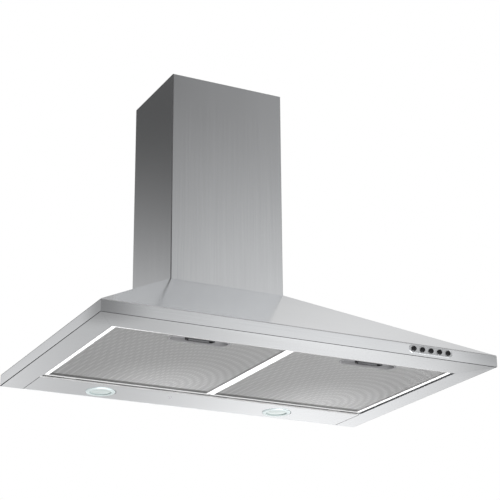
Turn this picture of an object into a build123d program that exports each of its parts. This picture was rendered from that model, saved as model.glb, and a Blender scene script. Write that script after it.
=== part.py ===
from build123d import *
import os
from math import cos, radians, sin

# Wall-mounted chimney range hood, millimetres.
# X runs to the right seen from the room, +Y into the wall, +Z up.
# Origin: middle of the back face, on the plane of the underside.

os.makedirs("parts", exist_ok=True)

# ---------------------------------------------------------------- driving dimensions
hood_width = 750.0
hood_depth = 500.0
lip_height = 21.0
canopy_height = 191.0
chimney_width = 235.0
chimney_depth = 184.0
chimney_height = 419.0
sheet = 1.0

front_border = 66.5
side_border = 44.0
light_plate_depth = 92.5
fit_gap = 0.4
mitre_width = 0.6
mitre_depth = 0.3
mitre_overrun = 0.05
top_flange = 12.0
rear_flange = 14.0
return_height = 23.0
panel_gap = 0.2
rivet_radius = 1.6
rivet_clearance = 0.1
rivet_head_radius = 3.2
rivet_levels = [0.31, 0.58, 0.84]
hook_spread = 220.0
hook_width = 34.0
hook_window_margin = 3.0
hook_lip = 7.0
hook_hole_z = 133.0
hook_hole_radius = 2.75
hook_plate = 3.0
hook_window_height = 34.0
safety_hole_radius = 3.0
safety_hole_spread = 500.0
safety_hole_z = 40.0

filter_recess = 2.0
filter_depth = 9.0
filter_bar = 7.0
filter_wall = 1.0
filter_side_gap = 0.5
filter_front_gap = 1.5
filter_rear_gap = 7.5
side_ledge = 4.0
mesh_sheet = 0.6
core_waves = 26
core_sheet = 0.5

core_gap = 0.1
core_cut_margin = 2.0
cup_gap = 0.5
lug_width = 22.0
lug_sheet = 1.2
lug_spread = 220.0
lug_reach = 8.0
seat_gap = 0.1
press_gap = 0.05
running_gap = 0.3

latch_plate_width = 112.0
latch_plate_depth = 31.0
latch_plate_gap = 0.5
latch_cup_wall = 0.6
latch_cup_margin = 3.0
latch_cup_height = 7.0
latch_ring_width = 54.0
latch_ring_depth = 16.0
latch_ring_wall = 3.6
latch_ring_height = 3.4
latch_tongue_width = 16.0
latch_tongue_height = 2.6
latch_ring_margin = 1.0
latch_ring_lift = 0.3
latch_flange_lift = 0.25

button_count = 5
button_pitch = 17.5
button_row_from_end = 138.7
button_z = 12.0
button_radius = 4.3
button_stand_out = 3.6
button_travel = 3.0
button_stem_radius = 2.0
button_stem_length = 7.0
button_chamfer = 0.7
button_shortening = 0.6
bezel_height = 14.0
bezel_margin = 9.0
bezel_sheet = 0.8
bezel_rim = 1.5
bezel_collar = 0.8
switch_depth = 28.0
switch_chamfer = 2.0

lamp_spacing = 369.0
lamp_pair_shift = -10.5
lamp_from_wall = 43.0
lamp_ring_radius = 28.0
lamp_glass_radius = 20.5
lamp_body_radius = 24.6
lamp_body_height = 24.0
lamp_ring_sheet = 1.6
lamp_ring_bevel = 1.0
lamp_barrel_wall = 1.2
lamp_barrel_height = 9.0
lamp_lens_height = 1.8
lamp_lens_bulge = 1.0
lamp_shoulder_radius = 15.0
lamp_shoulder_height = 12.0
lamp_cap_radius = 9.0
lamp_cap_height = 4.0
lamp_wall = 2.0

upper_cover_gap = 0.6
upper_cover_foot = 24.0
upper_cover_top_gap = 4.0
cover_return = 14.0
slot_count = 5
slot_length = 46.0
slot_height = 5.0
slot_pitch = 12.0
slot_from_top = 30.0

duct_radius = 74.5
duct_wall = 2.0
duct_centre_y = -92.0
collar_height = 50.0
collar_flange_half = 82.0
collar_flange_sheet = 2.0
collar_corner = 10.0
flap_sheet = 1.5
flap_pin_radius = 1.5
pin_clearance = 0.05
flap_knuckle_radius = 3.2

volute_base_radius = 66.0
volute_growth = 6.0
volute_width = 110.0
volute_wall = 2.5
volute_centre_y = -84.0
volute_drop = 53.0
outlet_rise = 17.0
adapter_height = 44.0
inlet_radius = 50.0
grille_sheet = 3.0
grille_rim = 10.0
grille_rings = [35.0, 19.0]
grille_bar = 2.5
grille_spokes = 6
deck_sheet = 1.2

impeller_radius = 57.0
impeller_bore_radius = 46.0
impeller_width = 88.0
blade_count = 32
blade_sheet = 1.0
shaft_radius = 4.0
motor_radius = 34.0
motor_length = 40.0

gland_bore_radius = 4.5
gland_thread_radius = 6.0
gland_nut_radius = 9.0
gland_cap_radius = 7.6
gland_height = 19.0

# ---------------------------------------------------------------- derived places
front_y = -hood_depth
half_width = hood_width / 2
half_chimney = chimney_width / 2
button_row_x = half_width - button_row_from_end
opening_half = half_width - side_border
opening_front_y = front_y + front_border
opening_rear_y = -light_plate_depth
inner_foot_z = lip_height - sheet / 2
inner_top_z = canopy_height - sheet
slope_inset = 0.3 * sheet
inner_foot_half = half_width - sheet
inner_top_half = half_chimney - slope_inset
inner_foot_front_y = front_y + sheet
inner_top_front_y = -chimney_depth + slope_inset


def inner_half_at(z):
    """Half width of the canopy's hollow at height z, just inside its side sheets."""
    share = (z - inner_foot_z) / (inner_top_z - inner_foot_z)
    return inner_foot_half + share * (inner_top_half - inner_foot_half)


def box(x_range, y_range, z_range, mode=Mode.ADD):
    """Straight-sided block of the part in hand, between two limits along each axis."""
    middle = [(low + high) / 2 for low, high in (x_range, y_range, z_range)]
    size = [high - low for low, high in (x_range, y_range, z_range)]
    with Locations(tuple(middle)):
        Box(*size, mode=mode)


def rear_trapezoid(inset, foot_z, top_z):
    """Outline of the canopy's open back, drawn in from its side sheets."""
    foot_half = inner_foot_half - inset
    top_half = inner_half_at(top_z) - inset
    return [(-foot_half, foot_z), (foot_half, foot_z), (foot_half, inner_foot_z),
            (top_half, top_z), (-top_half, top_z), (-foot_half, inner_foot_z)]


def hipped(foot, top, mode=Mode.ADD):
    """Four-sided hipped body with an upright back at y = 0; foot and top are (half width, front y, z)."""
    low, high = [[(half, 0, z), (-half, 0, z), (-half, front, z), (half, front, z)]
                 for half, front, z in (foot, top)]
    sides = [[low[i], low[i - 3], high[i - 3], high[i]] for i in range(4)]
    add(Solid(Shell([Face(Wire.make_polygon(corners)) for corners in (low, high, *sides)])), mode=mode)


def turned(profile, centre, mode=Mode.ADD):
    """Body turned about the upright line through centre, from (radius, height) points."""
    section = Plane(origin=(*centre, 0), x_dir=(1, 0, 0), z_dir=(0, -1, 0))
    with BuildSketch(section) as outline:
        with BuildLine():
            Polyline(*profile, close=True)
        make_face()
    revolve(outline.sketch, axis=Axis((*centre, 0), (0, 0, 1)), mode=mode)


def drum(x_range, radius, centre, mode=Mode.ADD):
    """Round bar along X between two places, its middle at centre (y, z)."""
    middle = ((x_range[0] + x_range[1]) / 2, *centre)
    with Locations(middle):
        Cylinder(radius, x_range[1] - x_range[0], rotation=(0, 90, 0), mode=mode)


def strip(low, thickness):
    """Pair of limits from a lower limit and a thickness."""
    return (low, low + thickness)


# ---------------------------------------------------------------- canopy
button_xs = [button_row_x + (i - (button_count - 1) / 2) * button_pitch for i in range(button_count)]
return_top_z = sheet + return_height
ledge_top_z = filter_recess + sheet
flange_rear_y = -sheet - panel_gap
flange_front_y = flange_rear_y - sheet
rivet_points = [(side * (inner_half_at(level * canopy_height) - rear_flange / 2), level * canopy_height)
                for side in (-1, 1) for level in rivet_levels]

with BuildPart() as canopy:
    box((-half_width, half_width), (front_y, 0), (0, lip_height))
    hipped((half_width, front_y, lip_height), (half_chimney, -chimney_depth, canopy_height))
    # hollow inside, open at the back
    box((-inner_foot_half, inner_foot_half), (inner_foot_front_y, 0), (sheet, inner_foot_z), Mode.SUBTRACT)
    hipped((inner_foot_half, inner_foot_front_y, inner_foot_z),
           (inner_top_half, inner_top_front_y, inner_top_z), Mode.SUBTRACT)
    # underside opening for the filters and the light plate
    box((-opening_half, opening_half), (opening_front_y, 0), (0, sheet), Mode.SUBTRACT)
    # top opening for the blower
    box((-half_chimney + top_flange, half_chimney - top_flange),
        (-chimney_depth + top_flange, -top_flange), (inner_top_z, canopy_height), Mode.SUBTRACT)
    # flange round the open back, which carries the back panel
    with BuildSketch(Plane.XZ.offset(-flange_rear_y)):
        with BuildLine():
            Polyline(*rear_trapezoid(0, sheet, inner_top_z), close=True)
        make_face()
        with BuildLine():
            Polyline(*rear_trapezoid(rear_flange, 0, inner_top_z - rear_flange), close=True)
        make_face(mode=Mode.SUBTRACT)
        with Locations(*rivet_points):
            Circle(rivet_radius + rivet_clearance, mode=Mode.SUBTRACT)
    extrude(amount=sheet)
    # button holes through the front lip
    with BuildSketch(Plane.XZ.offset(hood_depth)):
        with Locations(*[(x, button_z) for x in button_xs]):
            Circle(button_radius + running_gap)
    extrude(amount=-2 * sheet, mode=Mode.SUBTRACT)
    # mitre lines at the front corners of the underside
    for side in (-1, 1):
        with BuildSketch(Plane.XY):
            with BuildLine():
                Line((side * (half_width + side_border * mitre_overrun),
                      front_y - front_border * mitre_overrun),
                     (side * (opening_half - side_border * mitre_overrun),
                      opening_front_y + front_border * mitre_overrun))
            trace(line_width=mitre_width)
        extrude(amount=mitre_depth, mode=Mode.SUBTRACT)
canopy.part.label = "canopy"
export_step(canopy.part, "parts/canopy.step")

# ---------------------------------------------------------------- inner frame round the underside opening
with BuildPart() as inner_frame:
    # front upstand, open at both corners
    box((-opening_half + panel_gap, opening_half - panel_gap),
        (opening_front_y - sheet, opening_front_y), (sheet, return_top_z))
    for side in (-1, 1):
        upstand = sorted((side * opening_half, side * (opening_half + sheet)))
        box(upstand, (opening_front_y - sheet, flange_front_y - panel_gap), (sheet, return_top_z))
        # ledge beside the filter
        ledge = sorted((side * (opening_half - side_ledge), side * opening_half))
        box(ledge, (opening_front_y + panel_gap, opening_rear_y - fit_gap), (filter_recess, ledge_top_z))
inner_frame.part.label = "inner_frame"
export_step(inner_frame.part, "parts/inner_frame.step")

# ---------------------------------------------------------------- back panel, rivets and wall hooks
panel_foot_z = sheet + panel_gap
plate_half = opening_half - fit_gap
panel_top_z = inner_top_z - fit_gap
hook_window_top_z = hook_hole_z + hook_window_height / 2
hook_foot_z = hook_hole_z - hook_window_height / 2 + panel_gap
hook_xs = [-hook_spread / 2, hook_spread / 2]
panel_side = [(plate_half, 0), (plate_half, panel_foot_z), (inner_foot_half - fit_gap, panel_foot_z),
              (inner_foot_half - fit_gap, inner_foot_z), (inner_half_at(panel_top_z) - fit_gap, panel_top_z)]

with BuildPart() as back_panel:
    with BuildSketch(Plane.XZ):
        with BuildLine():
            Polyline(*panel_side, *[(-x, z) for x, z in reversed(panel_side)], close=True)
        make_face()
        with Locations(*[(x, hook_hole_z) for x in hook_xs]):
            Rectangle(hook_width + 2 * hook_window_margin, hook_window_height, mode=Mode.SUBTRACT)
        with Locations(*[(side * safety_hole_spread / 2, safety_hole_z) for side in (-1, 1)]):
            Circle(safety_hole_radius, mode=Mode.SUBTRACT)
        with Locations(*rivet_points):
            Circle(rivet_radius + rivet_clearance, mode=Mode.SUBTRACT)
    extrude(amount=sheet)
back_panel.part.label = "back_panel"
export_step(back_panel.part, "parts/back_panel.step")

with BuildPart() as panel_rivets:
    with BuildSketch(Plane.XZ.offset(seat_gap)):
        with Locations(*rivet_points):
            Circle(rivet_radius)
    extrude(amount=-flange_front_y)
    with BuildSketch(Plane.XZ.offset(-flange_front_y)):
        with Locations(*rivet_points):
            Circle(rivet_head_radius)
    extrude(amount=sheet)
    chamfer(panel_rivets.edges().group_by(Axis.Y)[0], sheet / 2)
panel_rivets.part.label = "panel_rivets"
export_step(panel_rivets.part, "parts/panel_rivets.step")

with BuildPart() as wall_hooks:
    for x in hook_xs:
        across = (x - hook_width / 2, x + hook_width / 2)
        box(across, (-hook_plate, 0), (hook_foot_z, hook_window_top_z - panel_gap))
        box(across, (-hook_plate, -sheet - fit_gap),
            (hook_window_top_z - panel_gap, hook_window_top_z + hook_lip))
    with BuildSketch(Plane.XZ):
        with Locations(*[(x, hook_hole_z) for x in hook_xs]):
            Circle(hook_hole_radius)
    extrude(amount=hook_plate, mode=Mode.SUBTRACT)
wall_hooks.part.label = "wall_hooks"
export_step(wall_hooks.part, "parts/wall_hooks.step")

# ---------------------------------------------------------------- light plate and its screw
lamp_y = -lamp_from_wall
lamp_places = {"left": (lamp_pair_shift - lamp_spacing / 2, lamp_y),
               "right": (lamp_pair_shift + lamp_spacing / 2, lamp_y)}
lamp_bore_radius = lamp_body_radius + fit_gap
lamp_barrel_radius = lamp_bore_radius + lamp_barrel_wall
plate_return_z = 12.0
hinge_y = opening_rear_y + sheet / 2
hinge_z = ledge_top_z - sheet / 2
plate_rear_y = flange_front_y - panel_gap
screw_place = (-61.0, -60.0)
screw_radius = 1.9
screw_hole_radius = screw_radius + panel_gap
bracket_half = 10.0
notch_margin = 1.0

with BuildPart() as light_plate:
    box((-plate_half, plate_half), (opening_rear_y, plate_rear_y), (0, sheet))
    # upturned front edge with a rounded crest, on which the filter lugs turn
    box((-plate_half, plate_half), strip(opening_rear_y, sheet), (sheet, hinge_z))
    drum((-plate_half, plate_half), sheet / 2, (hinge_y, hinge_z))
    box((-plate_half, plate_half), (plate_rear_y - sheet, plate_rear_y), (sheet, plate_return_z))
    for side in (-1, 1):
        upstand = sorted((side * (plate_half - sheet), side * plate_half))
        box(upstand, (opening_rear_y + sheet, plate_rear_y), (sheet, plate_return_z))
    box((screw_place[0] - bracket_half - notch_margin, screw_place[0] + bracket_half + notch_margin),
        (plate_rear_y - sheet, plate_rear_y), (sheet, plate_return_z), Mode.SUBTRACT)
    with BuildSketch(Plane.XY):
        with Locations(*lamp_places.values()):
            Circle(lamp_barrel_radius + panel_gap)
        with Locations(screw_place):
            Circle(screw_hole_radius)
    extrude(amount=sheet, mode=Mode.SUBTRACT)
light_plate.part.label = "light_plate"
export_step(light_plate.part, "parts/light_plate.step")

bracket_sheet = 1.2
bracket_reach = 10.0
angle_height = 38.0
with BuildPart() as plate_bracket:
    across = (screw_place[0] - bracket_half, screw_place[0] + bracket_half)
    box(across, (screw_place[1] - bracket_reach, -sheet), strip(sheet, bracket_sheet))
    box(across, (-sheet - bracket_sheet, -sheet), strip(sheet, angle_height))
    with BuildSketch(Plane.XY.offset(sheet)):
        with Locations(screw_place):
            Circle(screw_hole_radius)
    extrude(amount=bracket_sheet, mode=Mode.SUBTRACT)
plate_bracket.part.label = "plate_bracket"
export_step(plate_bracket.part, "parts/plate_bracket.step")

screw_head_radius = 3.4
screw_head_height = 1.5
screw_head_bevel = 1.0
screw_length = 8.0
screw_cross = (3.4, 0.8)
screw_cross_depth = 0.7
with BuildPart() as plate_screw:
    turned([(0, -screw_head_height), (screw_head_radius - screw_head_bevel, -screw_head_height),
            (screw_head_radius, 0), (screw_radius, 0), (screw_radius, screw_length), (0, screw_length)],
           screw_place)
    with BuildSketch(Plane.XY.offset(-screw_head_height)):
        with Locations(screw_place):
            Rectangle(*screw_cross)
            Rectangle(*reversed(screw_cross))
    extrude(amount=screw_cross_depth, mode=Mode.SUBTRACT)
plate_screw.part.label = "plate_screw"
export_step(plate_screw.part, "parts/plate_screw.step")

# ---------------------------------------------------------------- lamps
lens_seat_z = press_gap
lens_top_z = lamp_lens_height
body_foot_z = lens_top_z + core_gap
cap_foot_z = lamp_body_height - lamp_wall
for name, place in lamp_places.items():
    with BuildPart() as lamp_ring:
        turned([(lamp_glass_radius, -lamp_ring_sheet), (lamp_ring_radius - lamp_ring_bevel, -lamp_ring_sheet),
                (lamp_ring_radius, -lamp_ring_sheet + lamp_ring_bevel), (lamp_ring_radius, 0),
                (lamp_barrel_radius, 0), (lamp_barrel_radius, lamp_barrel_height),
                (lamp_bore_radius, lamp_barrel_height), (lamp_bore_radius, 0),
                (lamp_glass_radius + lamp_ring_bevel, 0)], place)
    lamp_ring.part.label = f"lamp_ring_{name}"
    export_step(lamp_ring.part, f"parts/lamp_ring_{name}.step")

    with BuildPart() as lamp_lens:
        turned([(0, -lamp_lens_bulge), (lamp_glass_radius * 0.6, -0.75 * lamp_lens_bulge),
                (lamp_glass_radius - running_gap, lens_seat_z), (lamp_body_radius, lens_seat_z),
                (lamp_body_radius, lens_top_z), (0, lens_top_z)], place)
    lamp_lens.part.label = f"lamp_lens_{name}"
    export_step(lamp_lens.part, f"parts/lamp_lens_{name}.step")

    with BuildPart() as lamp_body:
        turned([(lamp_body_radius - lamp_wall, body_foot_z), (lamp_body_radius, body_foot_z),
                (lamp_body_radius, lamp_shoulder_height), (lamp_shoulder_radius, cap_foot_z),
                (lamp_cap_radius, cap_foot_z), (lamp_cap_radius, lamp_body_height + lamp_cap_height),
                (0, lamp_body_height + lamp_cap_height), (0, cap_foot_z - lamp_wall),
                (lamp_shoulder_radius - lamp_wall, cap_foot_z - lamp_wall),
                (lamp_body_radius - lamp_wall, lamp_shoulder_height - lamp_wall / 2)], place)
    lamp_body.part.label = f"lamp_body_{name}"
    export_step(lamp_body.part, f"parts/lamp_body_{name}.step")

# ---------------------------------------------------------------- push buttons, bezel and switch block
button_front_y = front_y - button_stand_out
button_length = button_stand_out + sheet + button_travel - button_shortening
button_rear_y = button_front_y + button_length
socket_radius = button_stem_radius + running_gap
switch_front_y = button_rear_y + button_travel + panel_gap
bezel_width = (button_count - 1) * button_pitch + 2 * bezel_margin
bezel_corner = 0.46 * bezel_height
button_points = [(x, button_z) for x in button_xs]

for i, x in enumerate(button_xs, start=1):
    with BuildPart() as button:
        with BuildSketch(Plane.XZ.offset(-button_rear_y)):
            with Locations((x, button_z)):
                Circle(button_radius)
        extrude(amount=button_length)
        chamfer(button.edges().group_by(Axis.Y)[0], button_chamfer)
        with BuildSketch(Plane.XZ.offset(-button_rear_y)):
            with Locations((x, button_z)):
                Circle(button_stem_radius)
        extrude(amount=-button_stem_length)
    button.part.label = f"button_{i}"
    export_step(button.part, f"parts/button_{i}.step")

with BuildPart() as button_bezel:
    with BuildSketch(Plane.XZ.offset(hood_depth)):
        with Locations((button_row_x, button_z)):
            RectangleRounded(bezel_width, bezel_height, bezel_corner)
        with Locations(*button_points):
            Circle(button_radius + running_gap, mode=Mode.SUBTRACT)
    extrude(amount=bezel_sheet)
    with BuildSketch(Plane.XZ.offset(hood_depth + bezel_sheet)):
        with Locations((button_row_x, button_z)):
            RectangleRounded(bezel_width - 2 * bezel_rim, bezel_height - 2 * bezel_rim,
                             bezel_corner - bezel_rim)
        with Locations(*button_points):
            Circle(button_radius + running_gap + bezel_collar, mode=Mode.SUBTRACT)
    extrude(amount=-bezel_sheet / 2, mode=Mode.SUBTRACT)
button_bezel.part.label = "button_bezel"
export_step(button_bezel.part, "parts/button_bezel.step")

with BuildPart() as switch_block:
    box((button_row_x - bezel_width / 2, button_row_x + bezel_width / 2),
        (switch_front_y, switch_front_y + switch_depth), (sheet, lip_height - sheet))
    with BuildSketch(Plane.XZ.offset(-switch_front_y)):
        with Locations(*button_points):
            Circle(socket_radius)
    extrude(amount=-(button_stem_length + button_travel), mode=Mode.SUBTRACT)
    rear_edges = switch_block.edges().filter_by(Axis.X).group_by(Axis.Y)[-1]
    chamfer(rear_edges, switch_chamfer)
switch_block.part.label = "switch_block"
export_step(switch_block.part, "parts/switch_block.step")

# ---------------------------------------------------------------- centre rail above the filter joint
rail_half = 10.0
rail_foot_z = 12.0
rail_top_z = 24.0
rail_front_y = opening_front_y + panel_gap
rail_rear_y = opening_rear_y + 22.0
rail_leg = 18.0
with BuildPart() as centre_rail:
    box((-rail_half, rail_half), (rail_front_y, rail_rear_y), (rail_foot_z, rail_top_z))
    box((-rail_half, rail_half), (rail_rear_y - rail_leg, rail_rear_y), (sheet, rail_foot_z))
    box((-rail_half + sheet, rail_half - sheet), (rail_front_y + sheet, rail_rear_y),
        (2 * sheet, rail_top_z - sheet), Mode.SUBTRACT)
centre_rail.part.label = "centre_rail"
export_step(centre_rail.part, "parts/centre_rail.step")

# ---------------------------------------------------------------- grease filters and their latches
filter_front_y = opening_front_y + filter_front_gap
filter_rear_y = opening_rear_y - filter_rear_gap
filter_inner_x = filter_side_gap
filter_outer_x = opening_half - side_ledge - filter_side_gap
filter_foot_z = filter_recess
filter_top_z = filter_recess + filter_depth
filter_middle_x = (filter_inner_x + filter_outer_x) / 2
lug_foot_z = ledge_top_z + seat_gap
mesh_low_z = filter_foot_z + filter_wall + press_gap
mesh_high_z = filter_top_z - filter_wall - press_gap - mesh_sheet
core_foot_z = mesh_low_z + mesh_sheet + core_gap
core_top_z = mesh_high_z - core_gap
latch_plate_y = filter_front_y + filter_bar + latch_plate_gap + latch_plate_depth / 2
latch_plate_foot_z = filter_foot_z + latch_flange_lift
cup_width = latch_plate_width - 2 * latch_cup_margin
cup_depth = latch_plate_depth - 2 * latch_cup_margin
cup_front_y = latch_plate_y - cup_depth / 2
cup_rear_y = latch_plate_y + cup_depth / 2
ring_y = cup_front_y + latch_ring_margin + latch_ring_depth / 2
ring_foot_z = filter_foot_z + latch_ring_lift
ring_top_z = ring_foot_z + latch_ring_height
tongue_front_y = opening_front_y + panel_gap
tongue_rear_y = ring_y - latch_ring_depth / 2 + latch_ring_wall
tongue_top_z = ring_top_z + latch_tongue_height
shoulder_front_y = filter_front_y + filter_wall + fit_gap
shoulder_half = 13.0
shoulder_depth = 1.2
spring_sheet = 0.4
spring_reach = 42.0
spring_foot = 6.0
spring_start = 0.8

for name, side in (("left", -1), ("right", 1)):
    middle_x = side * filter_middle_x
    long_x = sorted((side * filter_inner_x, side * filter_outer_x))
    inner_x = (long_x[0] + filter_wall, long_x[1] - filter_wall)
    clear_x = (long_x[0] + filter_bar, long_x[1] - filter_bar)
    tongue_x = (middle_x - latch_tongue_width / 2, middle_x + latch_tongue_width / 2)
    window_x = (tongue_x[0] - fit_gap, tongue_x[1] + fit_gap)
    window_z = (ring_top_z - running_gap, tongue_top_z + running_gap)

    with BuildPart() as filter_frame:
        box(long_x, (filter_front_y, filter_rear_y), (filter_foot_z, filter_top_z))
        box(inner_x, (filter_front_y + filter_wall, filter_rear_y - filter_wall),
            (filter_foot_z + filter_wall, filter_top_z - filter_wall), Mode.SUBTRACT)
        box(clear_x, (filter_front_y + filter_bar, filter_rear_y - filter_bar),
            (filter_foot_z, filter_top_z), Mode.SUBTRACT)
        box(window_x, strip(filter_front_y, filter_wall), window_z, Mode.SUBTRACT)
        for lug in (-1, 1):
            lug_x = middle_x + lug * lug_spread / 2
            box((lug_x - lug_width / 2, lug_x + lug_width / 2), (filter_rear_y, opening_rear_y + lug_reach),
                strip(lug_foot_z, lug_sheet))
    filter_frame.part.label = f"filter_frame_{name}"
    export_step(filter_frame.part, f"parts/filter_frame_{name}.step")

    sheet_x = (inner_x[0] + panel_gap, inner_x[1] - panel_gap)
    sheet_y = (filter_front_y + filter_wall + panel_gap, filter_rear_y - filter_wall - panel_gap)
    with BuildPart() as filter_mesh:
        box(sheet_x, sheet_y, strip(mesh_low_z, mesh_sheet))
        with BuildSketch(Plane.XY.offset(mesh_low_z)):
            with Locations((middle_x, latch_plate_y)):
                SlotOverall(cup_width + 2 * cup_gap, cup_depth + 2 * cup_gap)
        extrude(amount=mesh_sheet, mode=Mode.SUBTRACT)
        box(sheet_x, sheet_y, strip(mesh_high_z, mesh_sheet))
    filter_mesh.part.label = f"filter_mesh_{name}"
    export_step(filter_mesh.part, f"parts/filter_mesh_{name}.step")

    fold = (sheet_x[1] - sheet_x[0]) / (2 * core_waves)
    zigzag = [(sheet_x[0] + i * fold, core_foot_z if i % 2 == 0 else core_top_z - core_sheet)
              for i in range(2 * core_waves + 1)]
    with BuildPart() as filter_core:
        with BuildSketch(Plane.XZ.offset(-sheet_y[1])):
            with BuildLine():
                Polyline(*zigzag, *[(x, z + core_sheet) for x, z in reversed(zigzag)], close=True)
            make_face()
        extrude(amount=sheet_y[1] - sheet_y[0])
        box((middle_x - cup_width / 2 - core_cut_margin, middle_x + cup_width / 2 + core_cut_margin),
            (sheet_y[0], cup_rear_y + core_cut_margin), (core_foot_z, core_top_z), Mode.SUBTRACT)
    filter_core.part.label = f"filter_core_{name}"
    export_step(filter_core.part, f"parts/filter_core_{name}.step")

    with BuildPart() as latch_plate:
        with BuildSketch(Plane.XY.offset(latch_plate_foot_z)):
            with Locations((middle_x, latch_plate_y)):
                SlotOverall(latch_plate_width, latch_plate_depth)
        extrude(amount=filter_foot_z + filter_wall - latch_plate_foot_z)
        with BuildSketch(Plane.XY.offset(latch_plate_foot_z)):
            with Locations((middle_x, latch_plate_y)):
                SlotOverall(cup_width, cup_depth)
        extrude(amount=latch_cup_height)
        with BuildSketch(Plane.XY.offset(latch_plate_foot_z)):
            with Locations((middle_x, latch_plate_y)):
                SlotOverall(cup_width - 2 * latch_cup_wall, cup_depth - 2 * latch_cup_wall)
        extrude(amount=latch_cup_height - latch_cup_wall, mode=Mode.SUBTRACT)
        box(window_x, strip(cup_front_y, latch_cup_wall), window_z, Mode.SUBTRACT)
    latch_plate.part.label = f"latch_plate_{name}"
    export_step(latch_plate.part, f"parts/latch_plate_{name}.step")

    with BuildPart() as latch:
        with BuildSketch(Plane.XY.offset(ring_foot_z)):
            with Locations((middle_x, ring_y)):
                SlotOverall(latch_ring_width, latch_ring_depth)
                SlotOverall(latch_ring_width - 2 * latch_ring_wall, latch_ring_depth - 2 * latch_ring_wall,
                            mode=Mode.SUBTRACT)
        extrude(amount=latch_ring_height)
        box(tongue_x, (tongue_front_y, tongue_rear_y), (ring_top_z, tongue_top_z))
        box((middle_x - shoulder_half, middle_x + shoulder_half),
            strip(shoulder_front_y, shoulder_depth), (ring_top_z, tongue_top_z))
    latch.part.label = f"latch_{name}"
    export_step(latch.part, f"parts/latch_{name}.step")

    spring_front_y = shoulder_front_y + shoulder_depth + press_gap
    spring_rear_y = cup_front_y - press_gap
    with BuildPart() as latch_spring:
        for arm in (-1, 1):
            bend = [(middle_x + arm * (latch_tongue_width / 2 + spring_start), spring_front_y),
                    (middle_x + arm * shoulder_half, spring_front_y),
                    (middle_x + arm * (spring_reach - spring_foot), spring_rear_y - spring_sheet),
                    (middle_x + arm * spring_reach, spring_rear_y - spring_sheet)]
            with BuildSketch(Plane.XY.offset(ring_top_z + running_gap)):
                with BuildLine():
                    Polyline(*bend, *[(x, y + spring_sheet) for x, y in reversed(bend)], close=True)
                make_face()
            extrude(amount=latch_tongue_height - 2 * running_gap)
    latch_spring.part.label = f"latch_spring_{name}"
    export_step(latch_spring.part, f"parts/latch_spring_{name}.step")

# ---------------------------------------------------------------- chimney covers, bracket and clips
upper_half = half_chimney - sheet - upper_cover_gap
upper_front_y = -chimney_depth + sheet + upper_cover_gap
upper_rear_y = -sheet - upper_cover_gap
chimney_top_z = canopy_height + chimney_height
upper_foot_z = canopy_height + upper_cover_foot
upper_top_z = chimney_top_z - upper_cover_top_gap

with BuildPart() as lower_chimney:
    box((-half_chimney, half_chimney), (-chimney_depth, 0), (canopy_height, chimney_top_z))
    box((-half_chimney + sheet, half_chimney - sheet), (-chimney_depth + sheet, -sheet),
        (canopy_height, chimney_top_z), Mode.SUBTRACT)
    box((-half_chimney + cover_return, half_chimney - cover_return), (-sheet, 0),
        (canopy_height, chimney_top_z), Mode.SUBTRACT)
lower_chimney.part.label = "lower_chimney"
export_step(lower_chimney.part, "parts/lower_chimney.step")

slot_top_z = upper_top_z - slot_from_top
with BuildPart() as upper_chimney:
    box((-upper_half, upper_half), (upper_front_y, upper_rear_y), (upper_foot_z, upper_top_z))
    box((-upper_half + sheet, upper_half - sheet), (upper_front_y + sheet, upper_rear_y - sheet),
        (upper_foot_z, upper_top_z), Mode.SUBTRACT)
    box((-upper_half + cover_return, upper_half - cover_return), (upper_rear_y - sheet, upper_rear_y),
        (upper_foot_z, upper_top_z), Mode.SUBTRACT)
    with BuildSketch(Plane.YZ.offset(-upper_half)):
        with Locations(*[(-chimney_depth / 2, slot_top_z - i * slot_pitch) for i in range(slot_count)]):
            SlotOverall(slot_length, slot_height)
    extrude(amount=2 * upper_half, mode=Mode.SUBTRACT)
upper_chimney.part.label = "upper_chimney"
export_step(upper_chimney.part, "parts/upper_chimney.step")

bracket_strip = 1.5
bracket_hole_z = chimney_top_z - 25.0
bracket_height = 30.0
bracket_hole_spread = 120.0
bracket_jog = 19.5
ear_front_y = -30.0
jog_x = half_chimney - bracket_jog
ear_x = upper_half - sheet - seat_gap
jog_y = upper_rear_y - sheet - fit_gap
bracket_path = [(-ear_x, ear_front_y), (-ear_x, jog_y), (-jog_x, jog_y), (-jog_x, 0), (jog_x, 0),
                (jog_x, jog_y), (ear_x, jog_y), (ear_x, ear_front_y)]
bracket_back = [(ear_x - bracket_strip, ear_front_y), (ear_x - bracket_strip, jog_y - bracket_strip),
                (jog_x - bracket_strip, jog_y - bracket_strip), (jog_x - bracket_strip, -bracket_strip)]
with BuildPart() as chimney_bracket:
    with BuildSketch(Plane.XY.offset(bracket_hole_z - bracket_height / 2)):
        with BuildLine():
            Polyline(*bracket_path, *bracket_back, *[(-x, y) for x, y in reversed(bracket_back)], close=True)
        make_face()
    extrude(amount=bracket_height)
    with BuildSketch(Plane.XZ):
        with Locations(*[(side * bracket_hole_spread / 2, bracket_hole_z) for side in (-1, 1)]):
            Circle(hook_hole_radius)
    extrude(amount=bracket_strip, mode=Mode.SUBTRACT)
chimney_bracket.part.label = "chimney_bracket"
export_step(chimney_bracket.part, "parts/chimney_bracket.step")

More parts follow.
